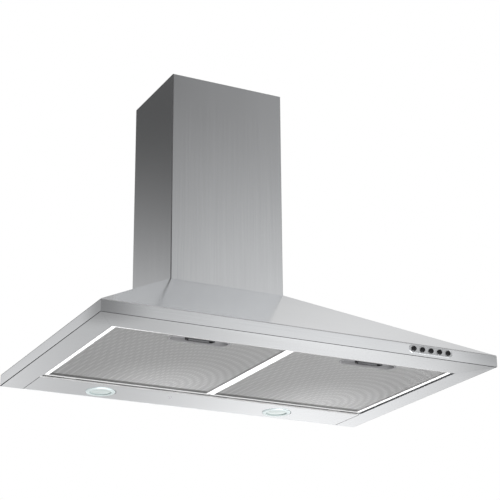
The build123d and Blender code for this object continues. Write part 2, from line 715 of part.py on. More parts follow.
# ---------------------------------------------------------------- blower deck, casing and its screws
deck_top_z = canopy_height + deck_sheet
volute_centre_z = canopy_height - volute_drop
outlet_level = canopy_height + outlet_rise
impeller_y = volute_centre_y - 4.0
impeller_z = volute_centre_z + 3.0
fan_centre = (impeller_y, impeller_z)
casing_half = volute_width / 2
casing_front_y = volute_centre_y - volute_base_radius - 3 * volute_growth
ear_width = 27.0
ear_length = 31.0
ear_range_y = strip(casing_front_y + 14.0, ear_length)
ear_foot_z = deck_top_z + seat_gap
ear_sheet = 3.0
ear_screw_margin = 8.0
blower_screw_radius = 2.0
blower_screw_head = 3.8
blower_screw_grip = 3.0
blower_screws_at = [(side * (casing_half + 0.6 * ear_width), y) for side in (-1, 1)
                    for y in (ear_range_y[0] + ear_screw_margin, ear_range_y[1] - ear_screw_margin)]
deck_edge_gap = 2.5
deck_half = half_chimney - sheet - deck_edge_gap
deck_opening_margin = 5.0
deck_opening_rear_y = volute_centre_y + 42.0
gland_place = (-half_chimney + 20.5, -30.0)

with BuildPart() as blower_deck:
    box((-deck_half, deck_half), (-chimney_depth + 2 * sheet, -sheet - fit_gap), (canopy_height, deck_top_z))
    box((-casing_half - deck_opening_margin, casing_half + deck_opening_margin),
        (casing_front_y - 2 * sheet, deck_opening_rear_y), (canopy_height, deck_top_z), Mode.SUBTRACT)
    with BuildSketch(Plane.XY.offset(canopy_height)):
        with Locations(*blower_screws_at):
            Circle(blower_screw_radius + panel_gap)
        with Locations(gland_place):
            Circle(gland_thread_radius + seat_gap)
    extrude(amount=deck_sheet, mode=Mode.SUBTRACT)
blower_deck.part.label = "blower_deck"
export_step(blower_deck.part, "parts/blower_deck.step")

gland_foot_z = canopy_height - 5.0
gland_top_z = gland_foot_z + gland_height
gland_flange_top_z = deck_top_z + 4.0
with BuildPart() as cable_gland:
    turned([(gland_bore_radius, gland_foot_z), (gland_thread_radius, gland_foot_z),
            (gland_thread_radius, deck_top_z), (gland_nut_radius, deck_top_z),
            (gland_nut_radius, gland_flange_top_z), (gland_cap_radius, gland_flange_top_z + 1.0),
            (gland_cap_radius, gland_top_z - 2.0), (gland_bore_radius + 1.0, gland_top_z),
            (gland_bore_radius, gland_top_z)], gland_place)
cable_gland.part.label = "cable_gland"
export_step(cable_gland.part, "parts/cable_gland.step")


def volute_face(wall):
    """Scroll outline in the YZ plane, moved inwards by wall."""
    y0, z0, r, g = volute_centre_y, volute_centre_z, volute_base_radius, volute_growth
    first, second, third = (y0, z0), (y0 - g, z0), (y0 - g, z0 + g)
    r1, r2, r3 = r - wall, r + g - wall, r + 2 * g - wall
    throat = (y0 - wall, z0 + r1)
    with BuildSketch() as scroll:
        with BuildLine():
            Line((third[0] - r3, outlet_level), (third[0] - r3, third[1]))
            CenterArc(third, r3, 180, 90)
            CenterArc(second, r2, 270, 90)
            CenterArc(first, r1, 0, 90)
            if wall:
                Line((y0, z0 + r1), throat)
            Line(throat, (throat[0], outlet_level))
            Line((throat[0], outlet_level), (third[0] - r3, outlet_level))
        make_face()
    return scroll.sketch


for name, side in (("left", -1), ("right", 1)):
    with BuildPart() as blower_shell:
        base = Plane.YZ if side > 0 else Plane.YZ.offset(-casing_half)
        extrude(base * volute_face(0), amount=casing_half)
        base = Plane.YZ if side > 0 else Plane.YZ.offset(-casing_half + volute_wall)
        extrude(base * volute_face(volute_wall), amount=casing_half - volute_wall, mode=Mode.SUBTRACT)
        base = Plane.YZ.offset(casing_half - volute_wall if side > 0 else -casing_half)
        with BuildSketch(base):
            with Locations((impeller_y, impeller_z)):
                Circle(inlet_radius)
        extrude(amount=volute_wall, mode=Mode.SUBTRACT)
        box(sorted((side * casing_half, side * (casing_half + ear_width))), ear_range_y,
            strip(ear_foot_z, ear_sheet))
        with BuildSketch(Plane.XY.offset(ear_foot_z)):
            with Locations(*[point for point in blower_screws_at if point[0] * side > 0]):
                Circle(blower_screw_radius + panel_gap)
        extrude(amount=ear_sheet, mode=Mode.SUBTRACT)
    blower_shell.part.label = f"blower_shell_{name}"
    export_step(blower_shell.part, f"parts/blower_shell_{name}.step")

    grille_x = side * (casing_half + seat_gap) if side > 0 else -casing_half - seat_gap - grille_sheet
    with BuildPart() as inlet_grille:
        with BuildSketch(Plane.YZ.offset(grille_x)):
            with Locations((impeller_y, impeller_z)):
                Circle(inlet_radius + grille_rim)
                Circle(inlet_radius - grille_bar / 2, mode=Mode.SUBTRACT)
                for ring_radius in grille_rings:
                    Circle(ring_radius)
                    Circle(ring_radius - grille_bar, mode=Mode.SUBTRACT)
                with PolarLocations((inlet_radius + min(grille_rings)) / 2 - grille_bar, grille_spokes,
                                    start_angle=30):
                    Rectangle(inlet_radius - min(grille_rings) + grille_bar, grille_bar)
        extrude(amount=grille_sheet)
    inlet_grille.part.label = f"inlet_grille_{name}"
    export_step(inlet_grille.part, f"parts/inlet_grille_{name}.step")

with BuildPart() as blower_screws:
    with BuildSketch(Plane.XY.offset(canopy_height - blower_screw_grip)):
        with Locations(*blower_screws_at):
            Circle(blower_screw_radius)
    extrude(amount=ear_foot_z + ear_sheet - canopy_height + blower_screw_grip)
    with BuildSketch(Plane.XY.offset(ear_foot_z + ear_sheet)):
        with Locations(*blower_screws_at):
            RegularPolygon(blower_screw_head, 6)
    extrude(amount=blower_screw_grip)
blower_screws.part.label = "blower_screws"
export_step(blower_screws.part, "parts/blower_screws.step")

clip_sheet = 1.2
clip_foot = 16.0
clip_length = 25.0
clip_top_gap = 6.0
clip_range_y = strip(-(chimney_depth + clip_length) / 2, clip_length)
clip_outer_x = half_chimney - sheet - seat_gap
with BuildPart() as chimney_clips:
    for side in (-1, 1):
        leg = sorted((side * (clip_outer_x - clip_sheet), side * clip_outer_x))
        foot = sorted((side * (clip_outer_x - clip_foot), side * clip_outer_x))
        box(leg, clip_range_y, (deck_top_z, upper_foot_z - clip_top_gap))
        box(foot, clip_range_y, strip(deck_top_z, clip_sheet))
chimney_clips.part.label = "chimney_clips"
export_step(chimney_clips.part, "parts/chimney_clips.step")

# ---------------------------------------------------------------- motor, its carrier, the shaft and the fan
motor_front_x = -8.0
motor_rear_x = motor_front_x - motor_length
motor_chamfer = 4.0
boss_radius = 11.0
grille_face_x = casing_half + seat_gap + grille_sheet
damper_height = 4.8
carrier_face_x = grille_face_x + seat_gap + damper_height
carrier_sheet = 3.0
damper_ring_radius = 54.5
damper_radius = 5.0
damper_count = 3
carrier_arm = 11.0
carrier_rim = 3.0
carrier_hub_radius = 18.0
carrier_hole_radius = 6.0
shaft_rear_x = -40.0
shaft_end_x = 14.0
shaft_chamfer = 0.8

with BuildPart() as motor:
    drum((motor_rear_x, motor_front_x), motor_radius, fan_centre)
    chamfer(motor.edges().filter_by(GeomType.CIRCLE), motor_chamfer)
    drum((-carrier_face_x, motor_rear_x), boss_radius, fan_centre)
    drum((shaft_rear_x - 2 * sheet, motor_front_x), shaft_radius + panel_gap, fan_centre, Mode.SUBTRACT)
motor.part.label = "motor"
export_step(motor.part, "parts/motor.step")

with BuildPart() as motor_bracket:
    with BuildSketch(Plane.YZ.offset(-carrier_face_x - carrier_sheet)):
        with Locations((impeller_y, impeller_z)):
            Circle(carrier_hub_radius)
            with PolarLocations(damper_ring_radius / 2, damper_count, start_angle=30):
                Rectangle(damper_ring_radius, carrier_arm)
            with PolarLocations(damper_ring_radius, damper_count, start_angle=30):
                Circle(damper_radius + carrier_rim)
            Circle(carrier_hole_radius, mode=Mode.SUBTRACT)
    extrude(amount=carrier_sheet)
motor_bracket.part.label = "motor_bracket"
export_step(motor_bracket.part, "parts/motor_bracket.step")

with BuildPart() as motor_dampers:
    with BuildSketch(Plane.YZ.offset(-carrier_face_x)):
        with Locations((impeller_y, impeller_z)):
            with PolarLocations(damper_ring_radius, damper_count, start_angle=30):
                Circle(damper_radius)
    extrude(amount=damper_height)
motor_dampers.part.label = "motor_dampers"
export_step(motor_dampers.part, "parts/motor_dampers.step")

with BuildPart() as fan_shaft:
    drum((shaft_rear_x, shaft_end_x), shaft_radius, fan_centre)
    chamfer(fan_shaft.edges().filter_by(GeomType.CIRCLE), shaft_chamfer)
fan_shaft.part.label = "fan_shaft"
export_step(fan_shaft.part, "parts/fan_shaft.step")

blade_sweep = 16.0
blade_rim = 0.4
blade_radii = [impeller_bore_radius + blade_rim, (impeller_bore_radius + impeller_radius) / 2,
               impeller_radius - blade_rim]
blade_angles = [0.0, blade_sweep * 0.35, blade_sweep]
end_ring_sheet = 2.0
disc_x = (2.0, 4.0)
hub_x = (-6.0, shaft_end_x)
hub_wall = 5.0


def blade_side(edge):
    """Points along one face of a forward-curved blade; edge is -1 or 1."""
    turns = [radians(a) + edge * blade_sheet / (2 * r) for r, a in zip(blade_radii, blade_angles)]
    return [(r * cos(turn), r * sin(turn)) for r, turn in zip(blade_radii, turns)]


with BuildSketch() as blade:
    with BuildLine():
        Polyline(*blade_side(-1), *reversed(blade_side(1)), close=True)
    make_face()

with BuildPart() as impeller:
    fan_end = Plane(origin=(-impeller_width / 2, impeller_y, impeller_z), x_dir=(0, 1, 0), z_dir=(1, 0, 0))
    with BuildSketch(fan_end):
        with PolarLocations(0, blade_count):
            add(blade.sketch)
    extrude(amount=impeller_width)
    for start in (-impeller_width / 2, impeller_width / 2 - end_ring_sheet):
        with BuildSketch(Plane.YZ.offset(start)):
            with Locations((impeller_y, impeller_z)):
                Circle(impeller_radius)
                Circle(impeller_bore_radius, mode=Mode.SUBTRACT)
        extrude(amount=end_ring_sheet)
    drum(disc_x, impeller_radius, fan_centre)
    drum(hub_x, shaft_radius + hub_wall, fan_centre)
    drum(hub_x, shaft_radius + press_gap, fan_centre, Mode.SUBTRACT)
impeller.part.label = "impeller"
export_step(impeller.part, "parts/impeller.step")

# ---------------------------------------------------------------- outlet adapter, collar and its flaps
outlet_middle_y = (casing_front_y + volute_centre_y) / 2
outlet_depth = volute_centre_y - casing_front_y
adapter_top_z = outlet_level + adapter_height
with BuildPart() as outlet_adapter:
    for inset, mode in ((0, Mode.ADD), (volute_wall, Mode.SUBTRACT)):
        with BuildSketch(Plane.XY.offset(outlet_level)):
            with Locations((0, outlet_middle_y)):
                Rectangle(volute_width - 2 * inset, outlet_depth - 2 * inset)
        with BuildSketch(Plane.XY.offset(adapter_top_z)):
            with Locations((0, duct_centre_y)):
                Circle(duct_radius - sheet - inset)
        loft(mode=mode)
outlet_adapter.part.label = "outlet_adapter"
export_step(outlet_adapter.part, "parts/outlet_adapter.step")

flap_pin_z = adapter_top_z + 18.0
ledge_depth = 3.5
ledge_sheet = 3.0
ledge_foot_z = flap_pin_z - flap_sheet / 2 - seat_gap - ledge_sheet
duct_centre = (0, duct_centre_y)
pin_centre = (duct_centre_y, flap_pin_z)
with BuildPart() as duct_collar:
    with BuildSketch(Plane.XY.offset(adapter_top_z)):
        with Locations(duct_centre):
            RectangleRounded(2 * collar_flange_half, 2 * collar_flange_half, collar_corner)
            Circle(duct_radius - duct_wall, mode=Mode.SUBTRACT)
    extrude(amount=collar_flange_sheet)
    with BuildSketch(Plane.XY.offset(adapter_top_z)):
        with Locations(duct_centre):
            Circle(duct_radius)
            Circle(duct_radius - duct_wall, mode=Mode.SUBTRACT)
    extrude(amount=collar_flange_sheet + collar_height)
    with BuildSketch(Plane.XY.offset(ledge_foot_z)):
        with Locations(duct_centre):
            Circle(duct_radius - duct_wall)
            Circle(duct_radius - duct_wall - ledge_depth, mode=Mode.SUBTRACT)
    extrude(amount=ledge_sheet)
    drum((-duct_radius - sheet, duct_radius + sheet), flap_pin_radius + pin_clearance, pin_centre,
         Mode.SUBTRACT)
duct_collar.part.label = "duct_collar"
export_step(duct_collar.part, "parts/duct_collar.step")

with BuildPart() as flap_pin:
    drum((-duct_radius + panel_gap, duct_radius - panel_gap), flap_pin_radius, pin_centre)
flap_pin.part.label = "flap_pin"
export_step(flap_pin.part, "parts/flap_pin.step")

flap_gap = 0.7
flap_radius = duct_radius - duct_wall - flap_gap
pin_edge_gap = 0.5
knuckle_run = 30.0
knuckle_pitch = 32.0
knuckle_starts = [-1.5 * knuckle_pitch - knuckle_run / 2 + i * knuckle_pitch for i in range(4)]
flap_edge = flap_knuckle_radius + pin_edge_gap
plate_z = (flap_pin_z - flap_sheet / 2, flap_pin_z + flap_sheet / 2)
for name, side in (("front", -1), ("rear", 1)):
    own_starts = knuckle_starts[0::2] if side < 0 else knuckle_starts[1::2]
    with BuildPart() as flap:
        with BuildSketch(Plane.XY.offset(plate_z[0])):
            with Locations(duct_centre):
                Circle(flap_radius)
            with Locations((0, duct_centre_y - side * (flap_radius - flap_edge))):
                Rectangle(2 * duct_radius, 2 * flap_radius, mode=Mode.SUBTRACT)
        extrude(amount=flap_sheet)
        for start in own_starts:
            web_y = sorted((duct_centre_y, duct_centre_y + side * (flap_edge + sheet)))
            box(strip(start, knuckle_run), web_y, plate_z)
            drum(strip(start, knuckle_run), flap_knuckle_radius, pin_centre)
        drum((-flap_radius, flap_radius), flap_pin_radius + pin_clearance, pin_centre, Mode.SUBTRACT)
    flap.part.label = f"flap_{name}"
    export_step(flap.part, f"parts/flap_{name}.step")

# ---------------------------------------------------------------- mains terminal box and motor capacitor
box_wall = 2.0
box_x = (-190.0, -90.0)
box_y = (-37.0, -sheet)
box_z = (40.0, 100.0)
wire_hole = (-150.0, -20.0)
wire_hole_radius = 6.0
lid_chamfer = 1.0
block_half = 25.0
block_depth = 14.0
block_z = (58.0, 74.0)
block_ways = 4
block_pitch = 12.0
block_way = 6.0
block_middle_x = (box_x[0] + box_x[1]) / 2
with BuildPart() as terminal_box:
    box(box_x, box_y, box_z)
    box((box_x[0] + box_wall, box_x[1] - box_wall), (box_y[0], box_y[1] - box_wall),
        (box_z[0] + box_wall, box_z[1] - box_wall), Mode.SUBTRACT)
    with BuildSketch(Plane.XY.offset(box_z[1] - box_wall)):
        with Locations(wire_hole):
            Circle(wire_hole_radius)
    extrude(amount=box_wall, mode=Mode.SUBTRACT)
terminal_box.part.label = "terminal_box"
export_step(terminal_box.part, "parts/terminal_box.step")

with BuildPart() as terminal_lid:
    box(box_x, (box_y[0] - box_wall, box_y[0]), box_z)
    chamfer(terminal_lid.edges().group_by(Axis.Y)[0], lid_chamfer)
terminal_lid.part.label = "terminal_lid"
export_step(terminal_lid.part, "parts/terminal_lid.step")

block_rear_y = box_y[1] - box_wall
with BuildPart() as terminal_block:
    box((block_middle_x - block_half, block_middle_x + block_half),
        (block_rear_y - block_depth, block_rear_y), block_z)
    with BuildSketch(Plane.XY.offset(block_z[0])):
        with Locations(*[(block_middle_x + (i - (block_ways - 1) / 2) * block_pitch,
                          block_rear_y - block_depth / 2) for i in range(block_ways)]):
            Rectangle(block_way, block_way)
    extrude(amount=block_z[1] - block_z[0], mode=Mode.SUBTRACT)
terminal_block.part.label = "terminal_block"
export_step(terminal_block.part, "parts/terminal_block.step")

capacitor_radius = 14.0
capacitor_place = (110.0, -20.0)
capacitor_z = (52.0, 108.0)
capacitor_chamfer = 1.5
clip_z = (74.0, 88.0)
clip_band = 1.2
clip_wing = 22.0
clip_leg_x = 7.0
clip_wing_x = clip_leg_x - clip_band / 2 + clip_wing / 2
clip_leg_front_y = capacitor_place[1] + capacitor_radius - clip_band / 2
with BuildPart() as capacitor:
    with BuildSketch(Plane.XY.offset(capacitor_z[0])):
        with Locations(capacitor_place):
            Circle(capacitor_radius)
    extrude(amount=capacitor_z[1] - capacitor_z[0])
    chamfer(capacitor.edges().filter_by(GeomType.CIRCLE), capacitor_chamfer)
capacitor.part.label = "capacitor"
export_step(capacitor.part, "parts/capacitor.step")

with BuildPart() as capacitor_clip:
    with BuildSketch(Plane.XY.offset(clip_z[0])):
        with Locations(capacitor_place):
            Circle(capacitor_radius + seat_gap + clip_band)
            Circle(capacitor_radius + seat_gap, mode=Mode.SUBTRACT)
        for arm in (-1, 1):
            with Locations((capacitor_place[0] + arm * clip_wing_x, -sheet - clip_band / 2)):
                Rectangle(clip_wing, clip_band)
            with Locations((capacitor_place[0] + arm * clip_leg_x, (clip_leg_front_y - sheet) / 2)):
                Rectangle(clip_band, -sheet - clip_leg_front_y)
    extrude(amount=clip_z[1] - clip_z[0])
capacitor_clip.part.label = "capacitor_clip"
export_step(capacitor_clip.part, "parts/capacitor_clip.step")
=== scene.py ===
"""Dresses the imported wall-mounted chimney range hood and sets it in a plain studio.

Lengths are in metres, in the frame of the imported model: +X to the right seen from
the room, +Y into the wall, +Z up, with the origin at the foot of the back face.
"""

import logging
import math
from dataclasses import dataclass
from enum import Enum
from typing import Callable, Iterable, Sequence

import bpy
from mathutils import Euler, Matrix, Vector

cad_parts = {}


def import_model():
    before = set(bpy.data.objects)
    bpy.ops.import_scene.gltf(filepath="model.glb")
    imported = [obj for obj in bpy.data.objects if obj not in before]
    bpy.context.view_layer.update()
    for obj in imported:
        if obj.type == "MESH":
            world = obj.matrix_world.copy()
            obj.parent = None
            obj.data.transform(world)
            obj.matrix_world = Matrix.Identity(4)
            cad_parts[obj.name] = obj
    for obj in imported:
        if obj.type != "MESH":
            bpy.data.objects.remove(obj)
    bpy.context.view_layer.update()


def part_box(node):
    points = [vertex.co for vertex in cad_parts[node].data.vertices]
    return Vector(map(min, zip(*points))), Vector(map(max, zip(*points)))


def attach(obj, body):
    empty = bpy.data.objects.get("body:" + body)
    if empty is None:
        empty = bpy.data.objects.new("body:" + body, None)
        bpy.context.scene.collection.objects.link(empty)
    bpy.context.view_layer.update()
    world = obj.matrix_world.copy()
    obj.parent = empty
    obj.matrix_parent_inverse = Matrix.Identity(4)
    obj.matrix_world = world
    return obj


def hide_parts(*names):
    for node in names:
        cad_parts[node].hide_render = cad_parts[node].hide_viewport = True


LOG = logging.getLogger("hood")
MM = 0.001
SIDES = {"left": -1, "right": 1}
WHITE = (1, 1, 1, 1)
NEAR = 0.05 * MM
MERGE_GAP = 0.000002
FLAT_ANGLE = 1.0
Colour = tuple[float, float, float]
Point = tuple[float, float, float]
Socket = bpy.types.NodeSocket


# ---------------------------------------------------------------- nodes
def compute(tree: bpy.types.NodeTree, operation: str, *values: Socket | float) -> Socket:
    """Add a math node.

    Args:
        tree: The node tree.
        operation: Blender's name of the operation.
        *values: Its values in order, each a socket or a number.

    Returns:
        The result's socket.
    """
    made = tree.nodes.new("ShaderNodeMath")
    made.operation = operation
    for value, target in zip(values, made.inputs):
        if isinstance(value, Socket):
            tree.links.new(value, target)
        else:
            target.default_value = value
    return made.outputs[0]


# ---------------------------------------------------------------- finishes
class Grain(Enum):
    """Way that the brushing of a sheet runs, in the object's own axes."""

    ALONG_X = (6.0, 900.0, 900.0)
    ALONG_Y = (900.0, 6.0, 900.0)
    ALONG_Z = (900.0, 900.0, 6.0)
    PLAIN = (300.0, 300.0, 300.0)


class Shader:
    """One node material, built step by step around a Principled shader."""

    def __init__(self, name: str) -> None:
        """Start an empty material.

        Args:
            name: Name of the material.
        """
        self.material = bpy.data.materials.new(name)
        self.material.use_nodes = True
        self.tree = self.material.node_tree
        self.surface = self.tree.nodes["Principled BSDF"]

    def node(self, kind: str, **settings: object) -> bpy.types.Node:
        """Add a node and set its own properties.

        Args:
            kind: Blender's type name of the node.
            **settings: Properties of the node.

        Returns:
            The new node.
        """
        made = self.tree.nodes.new(kind)
        for key, value in settings.items():
            setattr(made, key, value)
        return made

    def link(self, source: Socket, target: Socket) -> None:
        """Join two sockets."""
        self.tree.links.new(source, target)

    def math(self, operation: str, *values: Socket | float) -> Socket:
        """Add a math node, as compute does."""
        return compute(self.tree, operation, *values)

    def values(self, **sockets: object) -> None:
        """Set sockets of the Principled shader; a double underscore stands for a space."""
        for key, value in sockets.items():
            self.surface.inputs[key.replace("__", " ")].default_value = value

    def place(self, scale: Point = (1, 1, 1), shift: Point = (0, 0, 0)) -> Socket:
        """Object coordinates, shifted and scaled.

        Args:
            scale: Factor on each axis.
            shift: Move on each axis, after scaling.

        Returns:
            The vector socket.
        """
        coords = self.node("ShaderNodeTexCoord")
        mapping = self.node("ShaderNodeMapping")
        mapping.inputs["Scale"].default_value = scale
        mapping.inputs["Location"].default_value = shift
        self.link(coords.outputs["Object"], mapping.inputs["Vector"])
        return mapping.outputs["Vector"]

    def axis(self, letter: str) -> Socket:
        """Object coordinate along one axis, named X, Y or Z."""
        made = self.node("ShaderNodeSeparateXYZ")
        self.link(self.place(), made.inputs[0])
        return made.outputs[letter]

    def gap(self, point: Point) -> Socket:
        """Distance from a point in object coordinates."""
        made = self.node("ShaderNodeVectorMath", operation="DISTANCE")
        made.inputs[1].default_value = point
        self.link(self.place(), made.inputs[0])
        return made.outputs["Value"]

    def noise(self, scale: Point, detail: float = 3.0, rough: float = 0.55) -> Socket:
        """Noise stretched by the scale of each axis.

        Args:
            scale: Cells per metre on each axis.
            detail: Number of finer layers.
            rough: Weight of the finer layers.

        Returns:
            The factor socket.
        """
        made = self.node("ShaderNodeTexNoise")
        made.inputs["Scale"].default_value = 1.0
        made.inputs["Detail"].default_value = detail
        made.inputs["Roughness"].default_value = rough
        self.link(self.place(scale), made.inputs["Vector"])
        return made.outputs["Fac"]

    def wave(self, kind: str, direction: str, pitch: float, distortion: float, vector: Socket,
             **sockets: float) -> Socket:
        """Sine wave with a given pitch.

        Args:
            kind: BANDS or RINGS.
            direction: Axis of the bands or of the rings.
            pitch: Length of one wave in metres.
            distortion: Share of noise in the wave.
            vector: Coordinates.
            **sockets: Other sockets; a double underscore stands for a space.

        Returns:
            The factor socket.
        """
        made = self.node("ShaderNodeTexWave", wave_type=kind)
        setattr(made, f"{kind.lower()}_direction", direction)
        made.inputs["Scale"].default_value = math.pi / (10 * pitch)
        made.inputs["Distortion"].default_value = distortion
        for key, value in sockets.items():
            made.inputs[key.replace("__", " ")].default_value = value
        self.link(vector, made.inputs["Vector"])
        return made.outputs["Fac"]

    def ramp(self, factor: Socket, stops: Sequence[tuple[float, Colour]]) -> Socket:
        """Colours along a factor.

        Args:
            factor: The value that picks the colour.
            stops: Places from 0 to 1 with their colours.

        Returns:
            The colour socket.
        """
        made = self.node("ShaderNodeValToRGB")
        band = made.color_ramp
        while len(band.elements) < len(stops):
            band.elements.new(0.5)
        for element, (place, colour) in zip(band.elements, stops):
            element.position = place
            element.color = (*colour, 1)
        self.link(factor, made.inputs["Fac"])
        return made.outputs["Color"]

    def spread(self, factor: Socket, low: float, high: float) -> Socket:
        """A factor from 0 to 1 carried to a range."""
        return self.carried(factor, (0.0, 1.0), (low, high), "LINEAR")

    def carried(self, value: Socket, source: tuple[float, float], target: tuple[float, float],
                easing: str = "SMOOTHSTEP") -> Socket:
        """Carry a value from one range to another.

        Args:
            value: The value socket.
            source: Range of the value, past which it is held.
            target: Range of the result.
            easing: Blender's name of the course between the two ends.

        Returns:
            The result's socket.
        """
        made = self.node("ShaderNodeMapRange", interpolation_type=easing)
        names = ("From Min", "From Max", "To Min", "To Max")
        for name, number in zip(names, (*source, *target)):
            made.inputs[name].default_value = number
        self.link(value, made.inputs["Value"])
        return made.outputs["Result"]

    def dimmed(self, colour: Socket, factor: Socket) -> Socket:
        """A colour multiplied by a factor.

        Args:
            colour: The colour socket.
            factor: The factor socket.

        Returns:
            The product's socket.
        """
        made = self.node("ShaderNodeVectorMath", operation="SCALE")
        self.link(colour, made.inputs[0])
        self.link(factor, made.inputs["Scale"])
        return made.outputs["Vector"]

    def bump(self, height: Socket, strength: float, depth: float) -> None:
        """Raise the surface by a height.

        Args:
            height: The height socket.
            strength: Share of the bump that shows.
            depth: Height of the bump in metres.
        """
        made = self.node("ShaderNodeBump")
        made.inputs["Strength"].default_value = strength
        made.inputs["Distance"].default_value = depth
        self.link(height, made.inputs["Height"])
        self.link(made.outputs["Normal"], self.surface.inputs["Normal"])


@dataclass(frozen=True)
class CornerShade:
    """Painted shade that dulls the steel round a corner of the lip."""

    corner: Point
    reach: float
    depth: float


@dataclass(frozen=True)
class BrushedSteel:
    """Satin stainless sheet with fine parallel brush marks and faint rolling bands."""

    name: str
    grain: Grain
    tone: float = 0.85
    roughness: float = 0.17
    mark: float = 0.04
    corners: tuple[CornerShade, ...] = ()
    lip_top: float = 21.5 * MM
    cast: Colour = (0.985, 1.000, 1.020)
    cloud_scale: float = 5.0
    unevenness: float = 0.03
    scratch: float = 0.04 * MM

    def material(self) -> bpy.types.Material:
        """Make the material."""
        shader = Shader(self.name)
        marks = shader.noise(self.grain.value, detail=4.0)
        clouds = shader.noise((self.cloud_scale,) * 3, detail=2.0)
        low, high = self.tone * (1 - self.mark), self.tone * (1 + self.mark)
        colour = shader.ramp(marks, [(0.25, self.tint(low)), (0.75, self.tint(high))])
        for corner in self.corners:
            colour = self.shaded(shader, colour, corner)
        shader.link(colour, shader.surface.inputs["Base Color"])
        shader.values(Metallic=1.0)
        rough = shader.spread(clouds, self.roughness - self.unevenness, self.roughness + self.unevenness)
        shader.link(rough, shader.surface.inputs["Roughness"])
        shader.bump(marks, strength=0.10, depth=self.scratch)
        return shader.material

    def tint(self, tone: float) -> Colour:
        """Slightly blue grey of a tone."""
        return tuple(tone * share for share in self.cast)

    def shaded(self, shader: Shader, colour: Socket, shade: CornerShade) -> Socket:
        """Colour with painted shade round a corner, below the top of the lip.

        Args:
            shader: The material being made.
            colour: The colour without the duller corner.
            shade: Place, reach and depth of the shade.

        Returns:
            The colour with it.
        """
        near = shader.carried(shader.gap(shade.corner), (0.0, shade.reach), (1 - shade.depth, 1.0))
        above = shader.math("GREATER_THAN", shader.axis("Z"), self.lip_top)
        return shader.dimmed(colour, shader.math("MAXIMUM", near, above))


def shades(colour: Colour, darker: float, lighter: float, lift: float = 0.0) -> tuple[Colour, Colour]:
    """Darker and lighter shade of a colour.

    Args:
        colour: The colour between them.
        darker: Factor of the darker shade.
        lighter: Factor of the lighter shade.
        lift: Grey added to the lighter shade.

    Returns:
        Both shades.
    """
    return tuple(c * darker for c in colour), tuple(min(c * lighter + lift, 1.0) for c in colour)


@dataclass(frozen=True)
class SheetMetal:
    """Plain or plated metal with faint clouding and fine scratches."""

    name: str
    colour: Colour
    roughness: float = 0.4
    metallic: float = 1.0
    cloud_scale: float = 40.0
    scratch_scale: float = 900.0
    scratch: float = 0.04 * MM
    darker: float = 0.88
    lighter: float = 1.08
    smoother: float = 0.06
    rougher: float = 0.08

    def material(self) -> bpy.types.Material:
        """Make the material."""
        shader = Shader(self.name)
        cloud = shader.noise((self.cloud_scale,) * 3, detail=4.0)
        dark, light = shades(self.colour, self.darker, self.lighter)
        shader.link(shader.ramp(cloud, [(0.3, dark), (0.7, light)]), shader.surface.inputs["Base Color"])
        shader.values(Metallic=self.metallic)
        shader.link(shader.spread(cloud, self.roughness - self.smoother, self.roughness + self.rougher),
                    shader.surface.inputs["Roughness"])
        scratches = shader.noise((self.scratch_scale,) * 3, detail=2.0)
        shader.bump(scratches, strength=0.08, depth=self.scratch)
        return shader.material


@dataclass(frozen=True)
class MouldedPlastic:
    """Moulded plastic or rubber with a fine spark-eroded grain."""

    name: str
    colour: Colour
    roughness: float = 0.45
    grain: float = 1500.0
    gloss: float = 0.5
    cloud_scale: float = 60.0
    grain_depth: float = 0.05 * MM
    darker: float = 0.9
    lighter: float = 1.1
    lift: float = 0.002
    unevenness: float = 0.05

    def material(self) -> bpy.types.Material:
        """Make the material."""
        shader = Shader(self.name)
        cloud = shader.noise((self.cloud_scale,) * 3)
        dark, light = shades(self.colour, self.darker, self.lighter, self.lift)
        shader.link(shader.ramp(cloud, [(0.3, dark), (0.7, light)]), shader.surface.inputs["Base Color"])
        rough = shader.spread(cloud, self.roughness - self.unevenness, self.roughness + self.unevenness)
        shader.link(rough, shader.surface.inputs["Roughness"])
        shader.values(Specular__IOR__Level=self.gloss)
        shader.bump(shader.noise((self.grain,) * 3, detail=1.0), strength=0.15, depth=self.grain_depth)
        return shader.material


@dataclass(frozen=True)
class FrostedGlass:
    """Pressed lamp glass, slightly green, with a fine stipple."""

    name: str
    colour: Colour = (0.42, 0.48, 0.47)
    stipple_scale: float = 700.0
    stipple_depth: float = 0.2 * MM
    stipple_shade: float = 0.82

    def material(self) -> bpy.types.Material:
        """Make the material."""
        shader = Shader(self.name)
        stipple = shader.node("ShaderNodeTexVoronoi")
        stipple.inputs["Scale"].default_value = self.stipple_scale
        shader.link(shader.place(), stipple.inputs["Vector"])
        dark = tuple(c * self.stipple_shade for c in self.colour)
        shader.link(shader.ramp(stipple.outputs["Distance"], [(0.1, self.colour), (0.7, dark)]),
                    shader.surface.inputs["Base Color"])
        shader.values(Roughness=0.22, IOR=1.5, Coat__Weight=0.6)
        shader.bump(stipple.outputs["Distance"], strength=0.35, depth=self.stipple_depth)
        return shader.material


